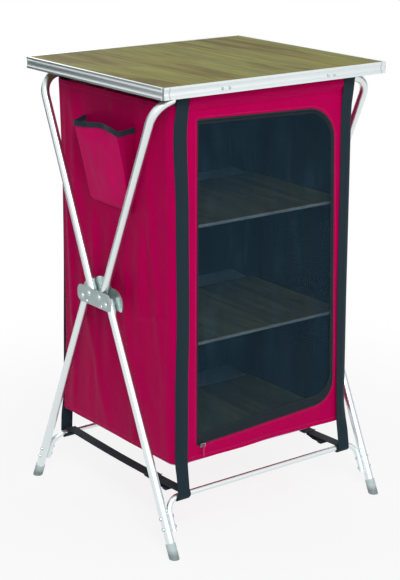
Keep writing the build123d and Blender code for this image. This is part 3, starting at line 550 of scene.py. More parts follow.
def grid_sheet(name, columns, rows, place, closed=False):
    """A grid whose points are moved to where place says, with its pattern laid out in metres."""
    piece = fresh(bpy.ops.mesh.primitive_grid_add, name, x_subdivisions=columns, y_subdivisions=rows,
                  size=1.0)
    layout = []
    for vertex in piece.data.vertices:
        i, j = round((vertex.co.x + 0.5) * columns), round((vertex.co.y + 0.5) * rows)
        point, plan = place(i, j)
        vertex.co = point
        layout.append(plan)
    layer = piece.data.uv_layers.active
    for loop in piece.data.loops:
        layer.data[loop.index].uv = layout[loop.vertex_index]
    if closed:
        merge_seam(piece)
    return piece


def thicken(piece, thickness, offset=-1.0, lined=False):
    """Give a sheet its thickness, with the lining on its inner face."""
    modify(piece, "SOLIDIFY", thickness=thickness, offset=offset, use_even_offset=True,
           material_offset=1 if lined else 0)


def dress(piece, *slots):
    """Give a piece the finishes of the slots given."""
    piece.data.materials.clear()
    for slot in slots:
        piece.data.materials.append(finishes()[slot])


def sewn(name, columns, rows, place, thickness, *slots, closed=False, offset=-1.0):
    """A sheet with its finishes and thickness; a second finish lines its inner face."""
    piece = grid_sheet(name, columns, rows, place, closed)
    dress(piece, *slots)
    thicken(piece, thickness, offset, lined=len(slots) > 1)
    return piece


def hang(piece, body=CLOTH_BODY, nodes=()):
    """Cloth rides its body with a mesh of its own, and the parts it replaces are hidden."""
    smooth(piece)
    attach(piece, body)
    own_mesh(piece)
    if nodes:
        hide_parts(*nodes)


def uneven(a, b, seed, scale):
    """Soft, seeded unevenness between about -1 and 1 at a place on a sheet."""
    return noise.noise(Vector((a * scale, b * scale, seed)))


def ease(value):
    """A smooth step from 0 to 1."""
    value = min(1.0, max(0.0, value))
    return value * value * (3 - 2 * value)


def eased(stops, value):
    """A number read from stops along a value, with soft steps from one to the next."""
    for (a, low), (b, high) in zip(stops, stops[1:]):
        if value <= b:
            return low + (high - low) * ease((value - a) / (b - a))
    return stops[-1][1]


def ridge(off, width):
    """A soft ridge: 1 on its line, and gone about two widths off it."""
    return exp(-(off / width) ** 2)


def resample(points, count):
    """Even points along a line of points."""
    lengths = [0.0]
    for before, after in zip(points, points[1:]):
        lengths.append(lengths[-1] + (after - before).length)
    result = []
    k = 0
    for i in range(count + 1):
        reach = lengths[-1] * i / count
        while k < len(points) - 2 and lengths[k + 1] < reach:
            k += 1
        span = max(lengths[k + 1] - lengths[k], 1e-9)
        result.append(points[k].lerp(points[k + 1], min(1.0, (reach - lengths[k]) / span)))
    return result


def inset_corners(corners, margins):
    """Corners of a closed outline with its sides moved in, each by its own margin."""
    lines = []
    for i, corner in enumerate(corners):
        along = (corners[(i + 1) % len(corners)] - corner).normalized()
        lines.append((corner + Vector((-along.y, along.x)) * margins[i], along))
    moved = []
    for i in range(len(corners)):
        (p, d), (q, e) = lines[i - 1], lines[i]
        reach = ((q.x - p.x) * e.y - (q.y - p.y) * e.x) / (d.x * e.y - d.y * e.x)
        moved.append(p + d * reach)
    return moved


def rounded_corner(before, corner, after, radius, steps=14):
    """Points of a rounded corner, or the corner alone where it is sharp."""
    if radius <= 0:
        return [corner.copy()]
    a, b = (before - corner).normalized(), (after - corner).normalized()
    half = a.angle(b) / 2
    middle = corner + (a + b).normalized() * (radius / sin(half))
    start = corner + a * (radius / tan(half)) - middle
    sweep = (pi - 2 * half)
    return [middle + Matrix.Rotation(sweep * k / steps, 2) @ start for k in range(steps + 1)]


def outline(margin, spans=DOOR_SPANS):
    """The door's four sides moved in, each from mid-corner to mid-corner with its count of points."""
    moved = inset_corners(DOOR_CORNERS, margin)
    arcs = [rounded_corner(moved[i - 1], moved[i], moved[(i + 1) % 4],
                           DOOR_RADII[i] - min(margin) if DOOR_RADII[i] else 0) for i in range(4)]
    sides = []
    for i, count in enumerate(spans):
        arc, following = arcs[i], arcs[(i + 1) % 4]
        sides.append(resample(arc[len(arc) // 2:] + following[:len(following) // 2 + 1], count))
    return sides


def zip_run(margin, spans=DOOR_SPANS):
    """The door's outline without its hinge side, as one line from low to high at the hinge."""
    foot, right, top = outline(margin, spans)[:3]
    return foot[:-1] + right[:-1] + top


def round_trip(sides):
    """The sides' points as one closed round, the first point given again at the end."""
    return [point for side in sides for point in side[:-1]] + [sides[0][0]]


def front_ripple(x, z):
    """How far the front cloth lies back from its plane: soft waves between the straps."""
    free = ease((0.205 - abs(x)) / 0.05)
    low = ease((CLOTH_LOW_Z + 0.10 - z) / 0.10)
    wave = 0.5 + 0.5 * sin(x * 47.0 + 0.8 * sin(z * 5.0))
    return free * (0.0004 + 0.0011 * (0.5 + 0.5 * uneven(x, z, 3.1, 5.0)) + 0.0016 * low * wave)


def rim_drop(x):
    """How far the front's lower edge waves up from its line."""
    return 0.0022 * (0.5 + 0.5 * sin(x * 23.0 + 0.6)) * ease((0.235 - abs(x)) / 0.04)


FOLDS = ((0.11, 0.16, 0.030, 0.55), (0.25, -0.12, 0.052, 0.80), (0.40, 0.20, 0.036, 0.60),
         (0.54, -0.16, 0.060, 0.60), (0.69, 0.06, 0.032, 0.75), (0.81, 0.14, 0.048, 0.90),
         (0.93, 0.02, 0.030, 0.60))


def fold_height(across, up, seed):
    """Soft upright folds that lean and fade towards the hems, from 0 to 1."""
    drift = 0.035 * uneven(across, up, seed, 2.3)
    folds = 0.0
    for k, (middle, lean, width, depth) in enumerate(FOLDS):
        fade = 0.65 + 0.55 * uneven(up * 2.4, k * 3.7, seed, 1.0)
        folds += depth * fade * ridge(across + drift - middle - lean * (up - 0.5), width)
    drag = 0.45 * ridge(across - 0.10 - 0.85 * up, 0.05) * ease((0.42 - up) / 0.35)
    drag += 0.50 * ridge(1 - across - 0.08 - 0.9 * (1 - up), 0.045) * ease((up - 0.55) / 0.35)
    drag += 0.60 * ridge(across - 0.55 - 0.60 * up, 0.042) * ease((0.50 - up) / 0.3)
    crease = 0.30 * ridge(up - 0.37 + 0.10 * (across - 0.5), 0.008) * ease((0.32 - across) / 0.14)
    rough = 0.16 * uneven(across, up, seed + 5, 7.0) + 0.07 * uneven(across, up, seed + 9, 19.0)
    taut = sqrt(max(0.0, sin(pi * min(1.0, max(0.0, up)))))
    return min(1.0, max(0.0, (0.10 + folds + drag + crease + rough) * taut))


def rear_y(up, sizes):
    """Depth of the rear corners, which draw in between the top and the foot."""
    bow = sizes.rear_bow * sin(pi * up) ** 0.8 if 0 < up < 1 else 0.0
    return CLOTH_Y - 0.0004 - bow + 0.0070 * ease((0.25 - up) / 0.25)


def side_spot(side, sx, across, up, sizes):
    """A point of a side's outer face; across runs from the front corner to the rear one."""
    front, rear = -CLOTH_Y + 0.0004 + sizes.corner_radius, rear_y(up, sizes) - REAR_TURN
    y, z = front + (rear - front) * across, CLOTH_LOW_Z + CLOTH_H * up
    edge = ease(across / 0.06) * ease((1 - across) / 0.05)
    bulge = sizes.fold_depth * fold_height(across, up, 11.0 if sx < 0 else 23.0) * edge
    if side == "left":
        calm = ease((y - MOUTH_LOW.y + 0.05) / 0.05) * ease((MOUTH_HIGH.y + 0.05 - y) / 0.05)
        calm *= ease((z - POCKET_LOW.z + 0.06) / 0.06) * ease((MOUTH_HIGH.z + 0.05 - z) / 0.05)
        bulge = bulge * (1 - calm) + min(bulge, 0.0018) * calm
    return Vector((sx * (CLOTH_FACE + bulge), y, z))


def side_panel(side, sx, sizes):
    """One side of the body, its edges turned round the corners to the front and the back."""
    columns, rows, arc = 116, 120, 12
    straight = columns - 2 * arc

    def place(i, j):
        up = j / rows
        step = i if sx > 0 else columns - i
        if arc <= step <= columns - arc:
            spot = side_spot(side, sx, (step - arc) / straight, up, sizes)
            hems = ease(up / 0.05) * ease((1 - up) / 0.05)
            spot.x += sx * 0.0016 * ridge(step - arc - 1.5, 1.6) * hems
        else:
            turn = sizes.corner_radius if step < arc else REAR_TURN
            angle = -pi / 2 * (1 - step / arc) if step < arc else pi / 2 * (step - columns + arc) / arc
            spot = side_spot(side, sx, 0.0 if step < arc else 1.0, up, sizes)
            spot += Vector((sx * turn * (cos(angle) - 1), turn * sin(angle), 0))
        foot = ease((0.03 - up * CLOTH_H) / 0.03)
        rise = 0.006 * max(0.0, 1 - step / (2 * arc)) ** 2
        spot.z += foot * (rise + 0.0016 * (0.5 + 0.5 * sin(31 * spot.y)))
        return spot, (spot.y - sx * spot.x, spot.z)

    return sewn(f"{side}_side_cloth", columns, rows, place, sizes.cloth_thickness, "red_cloth", "lining")


def back_spot(across, up, sizes):
    """A point of the back's outer face; across runs from the right corner to the left one."""
    half = CLOTH_FACE - REAR_TURN - SEAM_LAP
    edge = ease(across / 0.08) * ease((1 - across) / 0.08) * ease((up - 0.02) / 0.1)
    out = 0.0052 * fold_height(across, up, 37.0) * edge
    return Vector((half - 2 * half * across, rear_y(up, sizes) + out, CLOTH_LOW_Z + CLOTH_H * up))


def back_cloth(sizes):
    """The back of the body, between the side panels' turned edges."""
    columns, rows = 84, 120

    def place(i, j):
        spot = back_spot(i / columns, j / rows, sizes)
        return spot, (spot.x, spot.z)

    return sewn("back_cloth", columns, rows, place, sizes.cloth_thickness, "red_cloth", "lining")


def level_cloth(name, node, slots, sag, sizes, columns=48, rows=44):
    """A level sheet sewn in along all four walls, its corners rounded like theirs."""
    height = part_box(node)[1].z
    rear = rear_y((height - CLOTH_LOW_Z) / CLOTH_H, sizes) - 0.0006
    half = CLOTH_X - 0.0026

    def place(i, j):
        across, back = i / columns, j / rows
        x = half * (2 * across - 1)
        front = FRONT_Y + 0.0009 + front_ripple(x, height)
        y = front + (rear - front) * back
        for end, edge, turn in ((-1, front, sizes.corner_radius), (1, rear, REAR_TURN)):
            off = Vector((abs(x) - half + turn, y - edge + end * turn))
            if off.x > 0 and off.y * end > 0 and off.length > turn - SEAM_LAP:
                off *= (turn - SEAM_LAP) / off.length
                x, y = copysign(half - turn + off.x, x), edge - end * turn + off.y
        slack = sag * sin(pi * across) * sin(pi * back)
        z = height - slack - 0.0006 * (1 + uneven(x, y, 41.0, 9.0))
        return (x, y, z), (x, y)

    return sewn(name, columns, rows, place, sizes.cloth_thickness, *slots)


def front_cloth(sizes):
    """The red border round the door, one ring of cloth with a softly waved foot."""
    half = CLOTH_FACE - sizes.corner_radius - SEAM_LAP
    hole = outline((-0.0053, -0.0053, -0.0053, -0.0003))
    rim = [Vector((-half, CLOTH_LOW_Z)), Vector((half, CLOTH_LOW_Z)), Vector((half, CLOTH_TOP_Z)),
           Vector((-half, CLOTH_TOP_Z))]
    edge = []
    for k, count in enumerate(DOOR_SPANS):
        edge.append([rim[k].lerp(rim[(k + 1) % 4], i / count) for i in range(count + 1)])
    under = round_trip(outline((-0.0173, -0.0173, -0.0173, -0.0123)))
    inner, outer = round_trip(hole), round_trip(edge)
    columns, rows, turned = len(inner) - 1, 16, 4

    def place(i, j):
        if j <= rows:
            spot = inner[i].lerp(outer[i], 1 - j / rows)
        else:
            spot = inner[i].lerp(under[i], (j - rows - 1) / (turned - 1))
        x, z = spot
        lift = rim_drop(x) * ease((CLOTH_LOW_Z + 0.04 - z) / 0.04)
        behind = 0.0027 if j > rows else 0.0
        return (x, FRONT_Y + 0.0003 + behind + front_ripple(x, z), z + lift), (x, z)

    return sewn("front_cloth", columns, rows + turned, place, sizes.cloth_thickness,
                "red_cloth", "lining", closed=True)


def upper_hem(sizes):
    """The front's upper hem, a strip that laps over the cross tube between the straps."""
    start, stop, low, tall = -0.2108, 0.2032, CLOTH_TOP_Z - 0.012, 0.029
    columns, rows = 60, 10

    def place(i, j):
        x, up = start + (stop - start) * i / columns, j / rows
        z = low + tall * up
        y = FRONT_Y - 0.0011 + front_ripple(x, z) * (1 - up) - 0.0076 * ease(up / 0.6)
        return (x, y, z), (x, z)

    return sewn("front_hem_cloth", columns, rows, place, sizes.cloth_thickness, "red_cloth")


def net_y(x, z, depth):
    """Depth of the net behind the front plane: upright folds, fuller towards its middle."""
    middle = (DOOR_LOW.x + DOOR_HIGH.x) / 2
    free = ease((0.18 - abs(x - middle)) / 0.05) * ease((z - DOOR_LOW.z - 0.02) / 0.08)
    free *= ease((DOOR_HIGH.z - 0.02 - z) / 0.08)
    lean = 0.006 * sin(z * 6.0 + x * 9.0)
    wave = 0.5 + 0.5 * sin((x + lean) * 2 * pi / 0.062)
    wave = 0.65 * wave + 0.35 * (0.5 + 0.5 * sin((x - lean) * 2 * pi / 0.0235 + 1.3 * sin(z * 8.0)))
    return depth * free * (wave + 0.25 * uneven(x, z, 53.0, 8.0))


def door_net(sizes):
    """The net of the door, filled in from its four rounded sides."""
    low, side = sizes.low_binding, sizes.side_binding
    sides = outline((low * 0.6, side * 0.6, side * 0.6, 0.0004), (96, 64, 96, 64))
    foot, right, top, left = sides[0], sides[1], sides[2][::-1], sides[3][::-1]
    columns, rows = 96, 64

    def place(i, j):
        u, v = i / columns, j / rows
        spot = foot[i] * (1 - v) + top[i] * v + left[j] * (1 - u) + right[j] * u
        spot -= foot[0] * ((1 - u) * (1 - v)) + foot[-1] * (u * (1 - v)) + top[0] * ((1 - u) * v)
        x, z = spot - top[-1] * (u * v)
        y = FRONT_Y + 0.0010 + front_ripple(x, z) + max(0.0, net_y(x, z, sizes.net_fold_depth))
        return (x, y, z), (x, z)

    return sewn("door_net_cloth", columns, rows, place, NET_T, "net")


def door_band(sizes):
    """The dark binding of the door: broad along the foot and narrow on its other sides."""
    low, side = sizes.low_binding, sizes.side_binding
    outer = round_trip(outline((0.0, 0.0, 0.0, 0.0)))
    inner = round_trip(outline((low, side, side, 0.003)))
    columns, rows = len(outer) - 1, 6

    def place(i, j):
        v = j / rows
        spot = inner[i].lerp(outer[i], 1 - v)
        crown = 0.0005 * sin(pi * v)
        x, z = spot
        along = x + z
        return (x, FRONT_Y - 0.0004 - crown + front_ripple(x, z), z), (v * 0.016, along)

    return sewn("door_binding_tape", columns, rows, place, BINDING_T, "door_tape", closed=True)


def zip_band():
    """The zip's woven tape, which fills the gap between the door and the red border."""
    inner, outer = [zip_run((margin, margin, margin, 0.0)) for margin in (-0.0003, -0.0054)]
    columns, rows = len(inner) - 1, 2

    def place(i, j):
        x, z = inner[i].lerp(outer[i], 1 - j / rows)
        return (x, FRONT_Y + 0.0004 + front_ripple(x, z), z), (0.005 * j / rows, x + z)

    return sewn("zip_tape_cloth", columns, rows, place, ZIP_TAPE_T, "door_tape")


def tooth():
    """One zip tooth: a small rounded block, modelled once."""
    piece = block("tooth", (0.0021, 0.0014, 0.0038))
    edited((bpy.ops.mesh.select_all, {"action": "SELECT"}),
           (bpy.ops.mesh.bevel, {"offset": 0.0004, "segments": 1, "affect": "EDGES"}))
    return piece


def stitch():
    """One stitch: a short thread that dips at both ends, modelled once."""
    piece = fresh(bpy.ops.mesh.primitive_cylinder_add, "stitch", vertices=6, radius=0.00030, depth=0.0034)
    edited((bpy.ops.mesh.select_all, {"action": "DESELECT"}), (bpy.ops.mesh.select_mode, {"type": "FACE"}))
    for face in piece.data.polygons:
        face.select = abs(face.normal.z) > 0.9
    edited((bpy.ops.mesh.inset, {"thickness": 0.0002, "depth": 0.0003}))
    return piece


def row_of(name, model, spots, slot):
    """Copies of one small model at each spot, joined into one piece."""
    copies = []
    for origin, along, out in spots:
        along, out = Vector(along).normalized(), Vector(out).normalized()
        side = along.cross(out).normalized()
        out = side.cross(along)
        copy = model.copy()
        copy.data = model.data.copy()
        turn = Matrix((side, out, along)).transposed().to_4x4()
        copy.data.transform(Matrix.Translation(origin) @ turn)
        bpy.context.collection.objects.link(copy)
        copies.append(copy)
    bpy.ops.object.select_all(action="DESELECT")
    for copy in copies:
        copy.select_set(True)
    bpy.context.view_layer.objects.active = copies[0]
    bpy.ops.object.join()
    piece = bpy.context.object
    piece.name = piece.data.name = name
    bpy.data.objects.remove(model)
    dress(piece, slot)
    return piece


def spots_along(points, pitch, out):
    """Places at an even pitch along a line of points, each with its direction."""
    total = sum((b - a).length for a, b in zip(points, points[1:]))
    even = resample(points, max(2, round(total / pitch)))
    return [((a + b) / 2, b - a, out) for a, b in zip(even, even[1:])]


def on_front(points, proud):
    """Points of the front plane set in space, a little proud of the cloth."""
    return [Vector((x, FRONT_Y - proud + front_ripple(x, z), z)) for x, z in points]


def pocket_section(t, up, radius=0.010):
    """A point of the pocket's wall: t runs from the rear edge round to the front edge."""
    out = POCKET_DEPTH * (0.16 + 0.84 * up) * ease(up / 0.06 + 0.12)
    back_x = -CLOTH_X - 0.0005
    r = min(radius, out * 0.45)
    low, high = POCKET_PLAN
    ends = [a + (b - a) * up for a, b in zip(low, high)]
    corners = [Vector((back_x, ends[0])), Vector((back_x - out, ends[1])), Vector((back_x - out, ends[2])),
               Vector((back_x, ends[3]))]
    path = [corners[0]]
    for k in (1, 2):
        path += rounded_corner(corners[k - 1], corners[k], corners[k + 1], r, 6)
    path.append(corners[3])
    point = resample(path, 200)[round(min(1.0, max(0.0, t)) * 200)]
    face = ease((t - 0.22) / 0.2) * ease((0.78 - t) / 0.2)
    draw = -0.006 * ease((up - 0.75) / 0.25) + 0.004 * sin(pi * min(1.0, up + 0.1))
    swell = face * draw * (1 + 0.5 * uneven(t * 2, up, 61.0, 3.0))
    return Vector((point.x - swell, point.y))


POCKET_DEPTH = MOUTH_HIGH.x - MOUTH_LOW.x - 0.0035
POCKET_PLAN = ((0.078, 0.077, -0.077, -0.078), (0.104, 0.084, -0.090, -0.086))
MOUTH_HEIGHTS = ((0.0, 0.897), (0.17, 0.892), (0.30, 0.8935), (0.55, 0.9000), (0.74, 0.8988), (0.83, 0.8940),
                 (1.0, 0.8975))


def side_pocket():
    """The tapered side pocket, its mouth drawn down a little at the front corner."""
    columns, rows = 90, 44
    low = POCKET_LOW.z

    def place(i, j):
        t, up = i / columns, j / rows
        x, y = pocket_section(t, up)
        z = low + (eased(MOUTH_HEIGHTS, t) - low) * up
        crease = 0.0012 * uneven(t * 3, up * 2, 67.0, 2.5) * ease(up / 0.3)
        return (x - max(-0.0006, crease), y, z), (t * 0.30, z)

    return sewn("side_pocket_cloth", columns, rows, place, POCKET_T, "pocket_cloth", "lining")


def pocket_band():
    """The dark tape folded over the pocket's open edge."""
    columns, rows = 90, 12
    deep = 0.0095

    def place(i, j):
        t = i / columns
        x, y = pocket_section(t, 1.0)
        a, b = pocket_section(max(0.0, t - 0.01), 1.0), pocket_section(min(1.0, t + 0.01), 1.0)
        along = (b - a).normalized()
        out = Vector((along.y, -along.x))
        v = j / rows
        if v < 0.42:
            shift, drop = 0.0003, deep * (1 - v / 0.42)
        elif v > 0.58:
            shift, drop = -0.0014, deep * (v - 0.58) / 0.42
        else:
            angle = pi * (v - 0.42) / 0.16
            shift, drop = 0.00085 * cos(angle) - 0.00055, -0.0009 * sin(angle)
        z = eased(MOUTH_HEIGHTS, t) - drop
        return (x + out.x * shift, y + out.y * shift, z), (v * 0.02, t * 0.30)

    return sewn("pocket_binding_tape", columns, rows, place, POCKET_TAPE_T, "webbing", offset=1.0)


def sling(level, sizes):
    """The cloth that carries a shelf: flat under its board, free and slack behind it."""
    low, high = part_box(f"{level}_shelf_sling")
    board_low, board_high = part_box(f"{level}_shelf_board")
    columns, rows = 48, 64
    front, rear = board_low.y + 0.0005, high.y - sizes.rear_bow - 0.0025

    def place(i, j):
        across, back = i / columns, j / rows
        x = (low.x + 0.002) + (high.x - low.x - 0.004) * across
        y = front + (rear - front) * back
        free = ease((y - board_high.y) / (rear - board_high.y)) if y > board_high.y else 0.0
        slack = 0.004 * sin(pi * free) * sin(pi * across) ** 0.5 if 0 < across < 1 else 0.0
        ripple = 0.0012 * free * sin(x * 55 + 1.5) * (1 - free)
        z = high.z - 0.0004 - slack + 0.0052 * free * free + ripple
        return (x, y, z), (x, y)

    return sewn(f"{level}_sling_cloth", columns, rows, place, sizes.cloth_thickness, "sling_cloth")


def arc_points(centre, radius, start, stop, steps):
    """Points of an arc in the side view, angles in degrees from the rear, anticlockwise."""
    return [centre + radius * Vector((cos(radians(start + (stop - start) * k / steps)),
                                      sin(radians(start + (stop - start) * k / steps))))
            for k in range(steps + 1)]


def strap(name, middle_x, width, line, sizes, rows, wrap=None, columns=12):
    """Webbing that follows a line in the side view; wrap gives how far it turns round the corner."""
    even = resample(line, rows)
    length = sum((b - a).length for a, b in zip(even, even[1:]))

    def place(i, j):
        y, z = even[j]
        share = width * (i / columns - 0.5)
        x, back = wrap(share, z) if wrap else (middle_x + share, 0.0)
        return (x, y - back, z), (share, length * j / rows)

    piece = sewn(name, columns, rows, place, sizes.webbing_thickness, "webbing", offset=0.0)
    modify(piece, "BEVEL", width=0.0004, segments=1, limit_method="ANGLE", angle_limit=radians(60))
    return piece


STRAP_SHIFTS = {
    ("front", "left"): ((0.10, 0.0065), (0.32, 0.0030), (0.52, -0.0015), (0.74, 0.0000), (0.90, 0.0045),
                        (0.97, 0.0035)),
    ("front", "right"): ((0.10, 0.0055), (0.32, 0.0020), (0.52, -0.0015), (0.97, -0.0040)),
    ("rear", "left"): ((0.10, 0.0060), (0.20, 0.0050), (0.60, -0.0045), (0.97, -0.0045)),
    ("rear", "right"): ((0.10, 0.0060), (0.20, 0.0050), (0.60, -0.0045), (0.97, -0.0045)),
}


def corner_wrap(sx, sy, middle, shifts, sizes):
    """How a hanging strap bends round the cloth's corner: not at its loops, and most along the cloth."""
    def wrap(share, z):
        bend = ease((CLOTH_TOP_Z + 0.004 - z) / 0.06) * ease((z - CLOTH_LOW_Z + 0.03) / 0.08)
        reach = middle + eased(shifts, z) + sx * share
        start = CLOTH_FACE - sizes.corner_radius
        over = reach - start
        if over <= 0 or bend <= 0:
            return sx * reach, 0.0
        angle = bend * over / (sizes.corner_radius + 0.0015)
        return sx * (start + over * sin(angle) / angle), sy * over * (1 - cos(angle)) / angle
    return wrap


def hanging_line(sy):
    """The hanging strap's line: once round the cross tube, down the cloth and under the low bar."""
    face = CLOTH_Y + 0.0013
    top, foot = Vector((sy * CROSS_Y, CROSS_Z)), Vector((sy * BAR_Y, BAR_Z))
    loop = arc_points(top, TOP_LOOP_R, 180, 520, 40) if sy < 0 else arc_points(top, TOP_LOOP_R, 0, -340, 40)
    line = [top + (p - top) * (1 + 0.16 * k / 40) for k, p in enumerate(loop)]
    for k in range(33):
        drop = k / 32
        z = CLOTH_TOP_Z - 0.018 - (CLOTH_H - 0.018) * drop
        slack = 0.0005 * sin(pi * drop) + 0.0050 * drop ** 4 if sy < 0 else 0.0010 + 0.0105 * drop ** 2
        line.append(Vector((sy * (face + slack + 0.0035 * (1 - ease(drop / 0.05))), z)))
    start, turn = (180, 172) if sy < 0 else (0, -172)
    return line + arc_points(foot, LOW_LOOP_R, start, start + turn, 20)


def tie_sag(y):
    """How far the depth strap hangs below its level line."""
    return 0.0045 * max(0.0, cos(pi * y / (2 * BAR_Y)))


def tie_line():
    """The depth strap's line: round the front bar, back along the side, and round the rear bar."""
    front, rear = Vector((-BAR_Y, BAR_Z)), Vector((BAR_Y, BAR_Z))
    level = [Vector((-BAR_Y + 2 * BAR_Y * k / 60, BAR_Z + TIE_LOOP_R)) for k in range(1, 60)]
    level = [Vector((p.x, p.y - tie_sag(p.x))) for p in level]
    return arc_points(front, TIE_LOOP_R, 380, 90, 30) + level + arc_points(rear, TIE_LOOP_R, 90, -200, 30)


def buckle(side):
    """A ladder buckle: a rounded frame with two slots that the webbing passes through."""
    low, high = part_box(f"{side}_buckle")
    middle = (low + high) / 2
    width, length = high.x - low.x, high.y - low.y
    strap_z = BAR_Z + TIE_LOOP_R - tie_sag(middle.y)
    piece = fresh(bpy.ops.mesh.primitive_grid_add, f"{side}_ladder_buckle", x_subdivisions=3,
                  y_subdivisions=5, size=1.0)
    xs = (-width / 2, -width / 2 + 0.0045, width / 2 - 0.0045, width / 2)
    ys = (-length / 2, -length / 2 + 0.0040, -0.0026, 0.0026, length / 2 - 0.0040, length / 2)
    for vertex in piece.data.vertices:
        i, j = round((vertex.co.x + 0.5) * 3), round((vertex.co.y + 0.5) * 5)
        lift = 0.0026 if j in (0, 5) else -0.0024 if 0 < i < 3 else 0.0
        vertex.co = (middle.x + xs[i], middle.y + ys[j], strap_z + lift)
    for face in piece.data.polygons:
        centre = face.center - Vector((middle.x, middle.y, face.center.z))
        face.select = abs(centre.x) < 0.002 and 0.0026 < abs(centre.y) < length / 2 - 0.0040
    edited((bpy.ops.mesh.select_mode, {"type": "FACE"}), (bpy.ops.mesh.delete, {"type": "FACE"}))
    thicken(piece, 0.0022, 0.0)
    modify(piece, "BEVEL", width=0.0007, segments=2, limit_method="ANGLE", angle_limit=radians(35))
    modify(piece, "SUBSURF", levels=1, render_levels=1)
    dress(piece, "moulded_plastic")
    return piece


def strap_end(side, sizes):
    """The strap's loose end, which hangs from the buckle and is folded at its tip."""
    low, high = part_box(f"{side}_strap_tail")
    start = Vector((high.y, BAR_Z + BAR_R - 0.0018 - tie_sag(high.y)))
    tip = Vector((low.y, low.z + 0.0012))
    bend = start.lerp(tip, 0.42) + Vector((0.0, -0.0022))
    line = [start, start.lerp(bend, 0.5) + Vector((0, 0.0004)), bend, bend.lerp(tip, 0.6), tip]
    fold = [tip + Vector((-0.0012, -0.0010)), tip + Vector((0.0004, -0.0024)), tip + Vector((0.012, -0.0016))]
    return strap(f"{side}_tail_webbing", (low.x + high.x) / 2, high.x - low.x - 0.001, line + fold, sizes, 40)


class CUPBOARD_OT_stage(bpy.types.Operator):
    """Set up the pale floor, the soft lights and the camera"""

    bl_idname = "cupboard.stage"
    bl_label = "Stage, lights and camera"

    def execute(self, context):
        scene = context.scene
        scene.view_settings.view_transform = "Standard"
        floor_material(self.floor())
        for name, spot, size in CARDS:
            self.card(name, spot, size)
        self.world(scene)
        for name, spot, size, power in LAMPS:
            data = bpy.data.lights.new(name, "AREA")
            data.shape = "RECTANGLE"
            data.size, data.size_y = size
            data.energy = power
            lamp = bpy.data.objects.new(name, data)
            scene.collection.objects.link(lamp)
            lamp.location = spot
            lamp.rotation_euler = (Vector((0, 0, 0.5)) - Vector(spot)).to_track_quat("-Z", "Y").to_euler()
        self.camera(scene)
        return {"FINISHED"}

    def floor(self):
        """A wide floor just under the feet."""
        piece = fresh(bpy.ops.mesh.primitive_plane_add, "studio_floor", size=16.0,
                      location=(0, 0, -0.0004))
        bpy.ops.object.transform_apply(location=True, rotation=False, scale=False)
        return piece

    def card(self, name, spot, size):
        """A grey studio card out of the picture, which gives the tubes their darker edges."""
        piece = fresh(bpy.ops.mesh.primitive_plane_add, name, size=1.0)
        piece.scale = (size[0], size[1], 1.0)
        piece.location = spot
        piece.rotation_euler = (Vector((0, 0, 0.7)) - Vector(spot)).to_track_quat("Z", "Y").to_euler()
        bpy.ops.object.transform_apply(location=True, rotation=True, scale=True)
        piece.data.materials.append(Finish(name, (0.05, 0.07, 0.08, 1), 0.9).material)
        piece.visible_camera = piece.visible_shadow = False
        piece.visible_diffuse = piece.visible_transmission = False

    def world(self, scene):
        """Even white light, a little darker and cooler towards the left and the rear."""
        scene.world = bpy.data.worlds.new("Soft studio")
        wires = Wires(scene.world)
        view = wires.split(wires.add("ShaderNodeTexCoord").outputs["Generated"])
        tone = wires.ramp(wires.spread(view["X"], 0.0, 1.0, -1.0, 0.3),
                          (0.0, (0.42, 0.50, 0.53, 1)), (1.0, (0.95, 0.98, 1.0, 1)))
        soft = wires.add("ShaderNodeBackground", {"Color": tone, "Strength": WORLD_STRENGTH})
        white = wires.add("ShaderNodeBackground", {"Color": (1, 1, 1, 1)})
        mix = wires.add("ShaderNodeMixShader", {0: wires.seen(), 1: soft.outputs[0], 2: white.outputs[0]})
        wires.add("ShaderNodeOutputWorld", {"Surface": mix.outputs[0]})

    def camera(self, scene):
        """The photograph's viewpoint: front left, a little above the worktop."""
        data = bpy.data.cameras.new("Viewpoint")
        data.sensor_fit = "VERTICAL"
        data.sensor_height = 36.0
        data.lens = 98.44
        data.clip_end = 60.0
        camera = bpy.data.objects.new("Viewpoint", data)
        scene.collection.objects.link(camera)
        azimuth, tilt, distance = radians(-36.80), radians(16.84), 3.6344
        right = Vector((cos(azimuth), sin(azimuth), 0))
        back = Vector((sin(azimuth) * cos(tilt), -cos(azimuth) * cos(tilt), sin(tilt)))
        target = right * -0.00924 + Vector((0, 0, 0.48024))
        camera.location = target + back * distance
        camera.rotation_euler = (target - camera.location).to_track_quat("-Z", "Y").to_euler()
        camera.rotation_euler.rotate_axis("Z", radians(0.17))
        scene.camera = camera


WORLD_STRENGTH = 0.42
LAMPS = (("Key", (-1.9, -3.2, 2.9), (1.7, 1.7), 104.0), ("Front", (1.2, -4.4, 1.5), (1.6, 1.6), 11.0),
         ("Rear", (0.8, 3.4, 2.2), (2.0, 1.6), 16.0))
CARDS = (("card_left", (-1.25, 1.75, 0.75), (1.4, 1.7)), ("card_right", (2.7, -0.9, 1.2), (0.9, 2.6)))


def floor_material(piece):
    """White to the camera and in the metal's reflections, with a soft shadow round the feet."""
    finish = Finish("Studio floor", (0.92, 0.92, 0.92, 1), 0.9, Specular_IOR_Level=0.0)
    glow = finish.add("ShaderNodeEmission", {"Color": (1, 1, 1, 1), "Strength": 1.0})
    reach = finish.add("ShaderNodeVectorMath", {0: finish.place()}, operation="LENGTH").outputs["Value"]
    share = finish.spread(reach, 0.85, 1.0, 0.45, 1.5, interpolation_type="SMOOTHSTEP")
    mix = finish.add("ShaderNodeMixShader", {0: finish.sum(finish.seen(), share, "MULTIPLY"),
                                             1: finish.shader.outputs[0], 2: glow.outputs[0]})
    finish.tree.links.new(mix.outputs[0], finish.output.inputs["Surface"])
    piece.data.materials.append(finish.material)


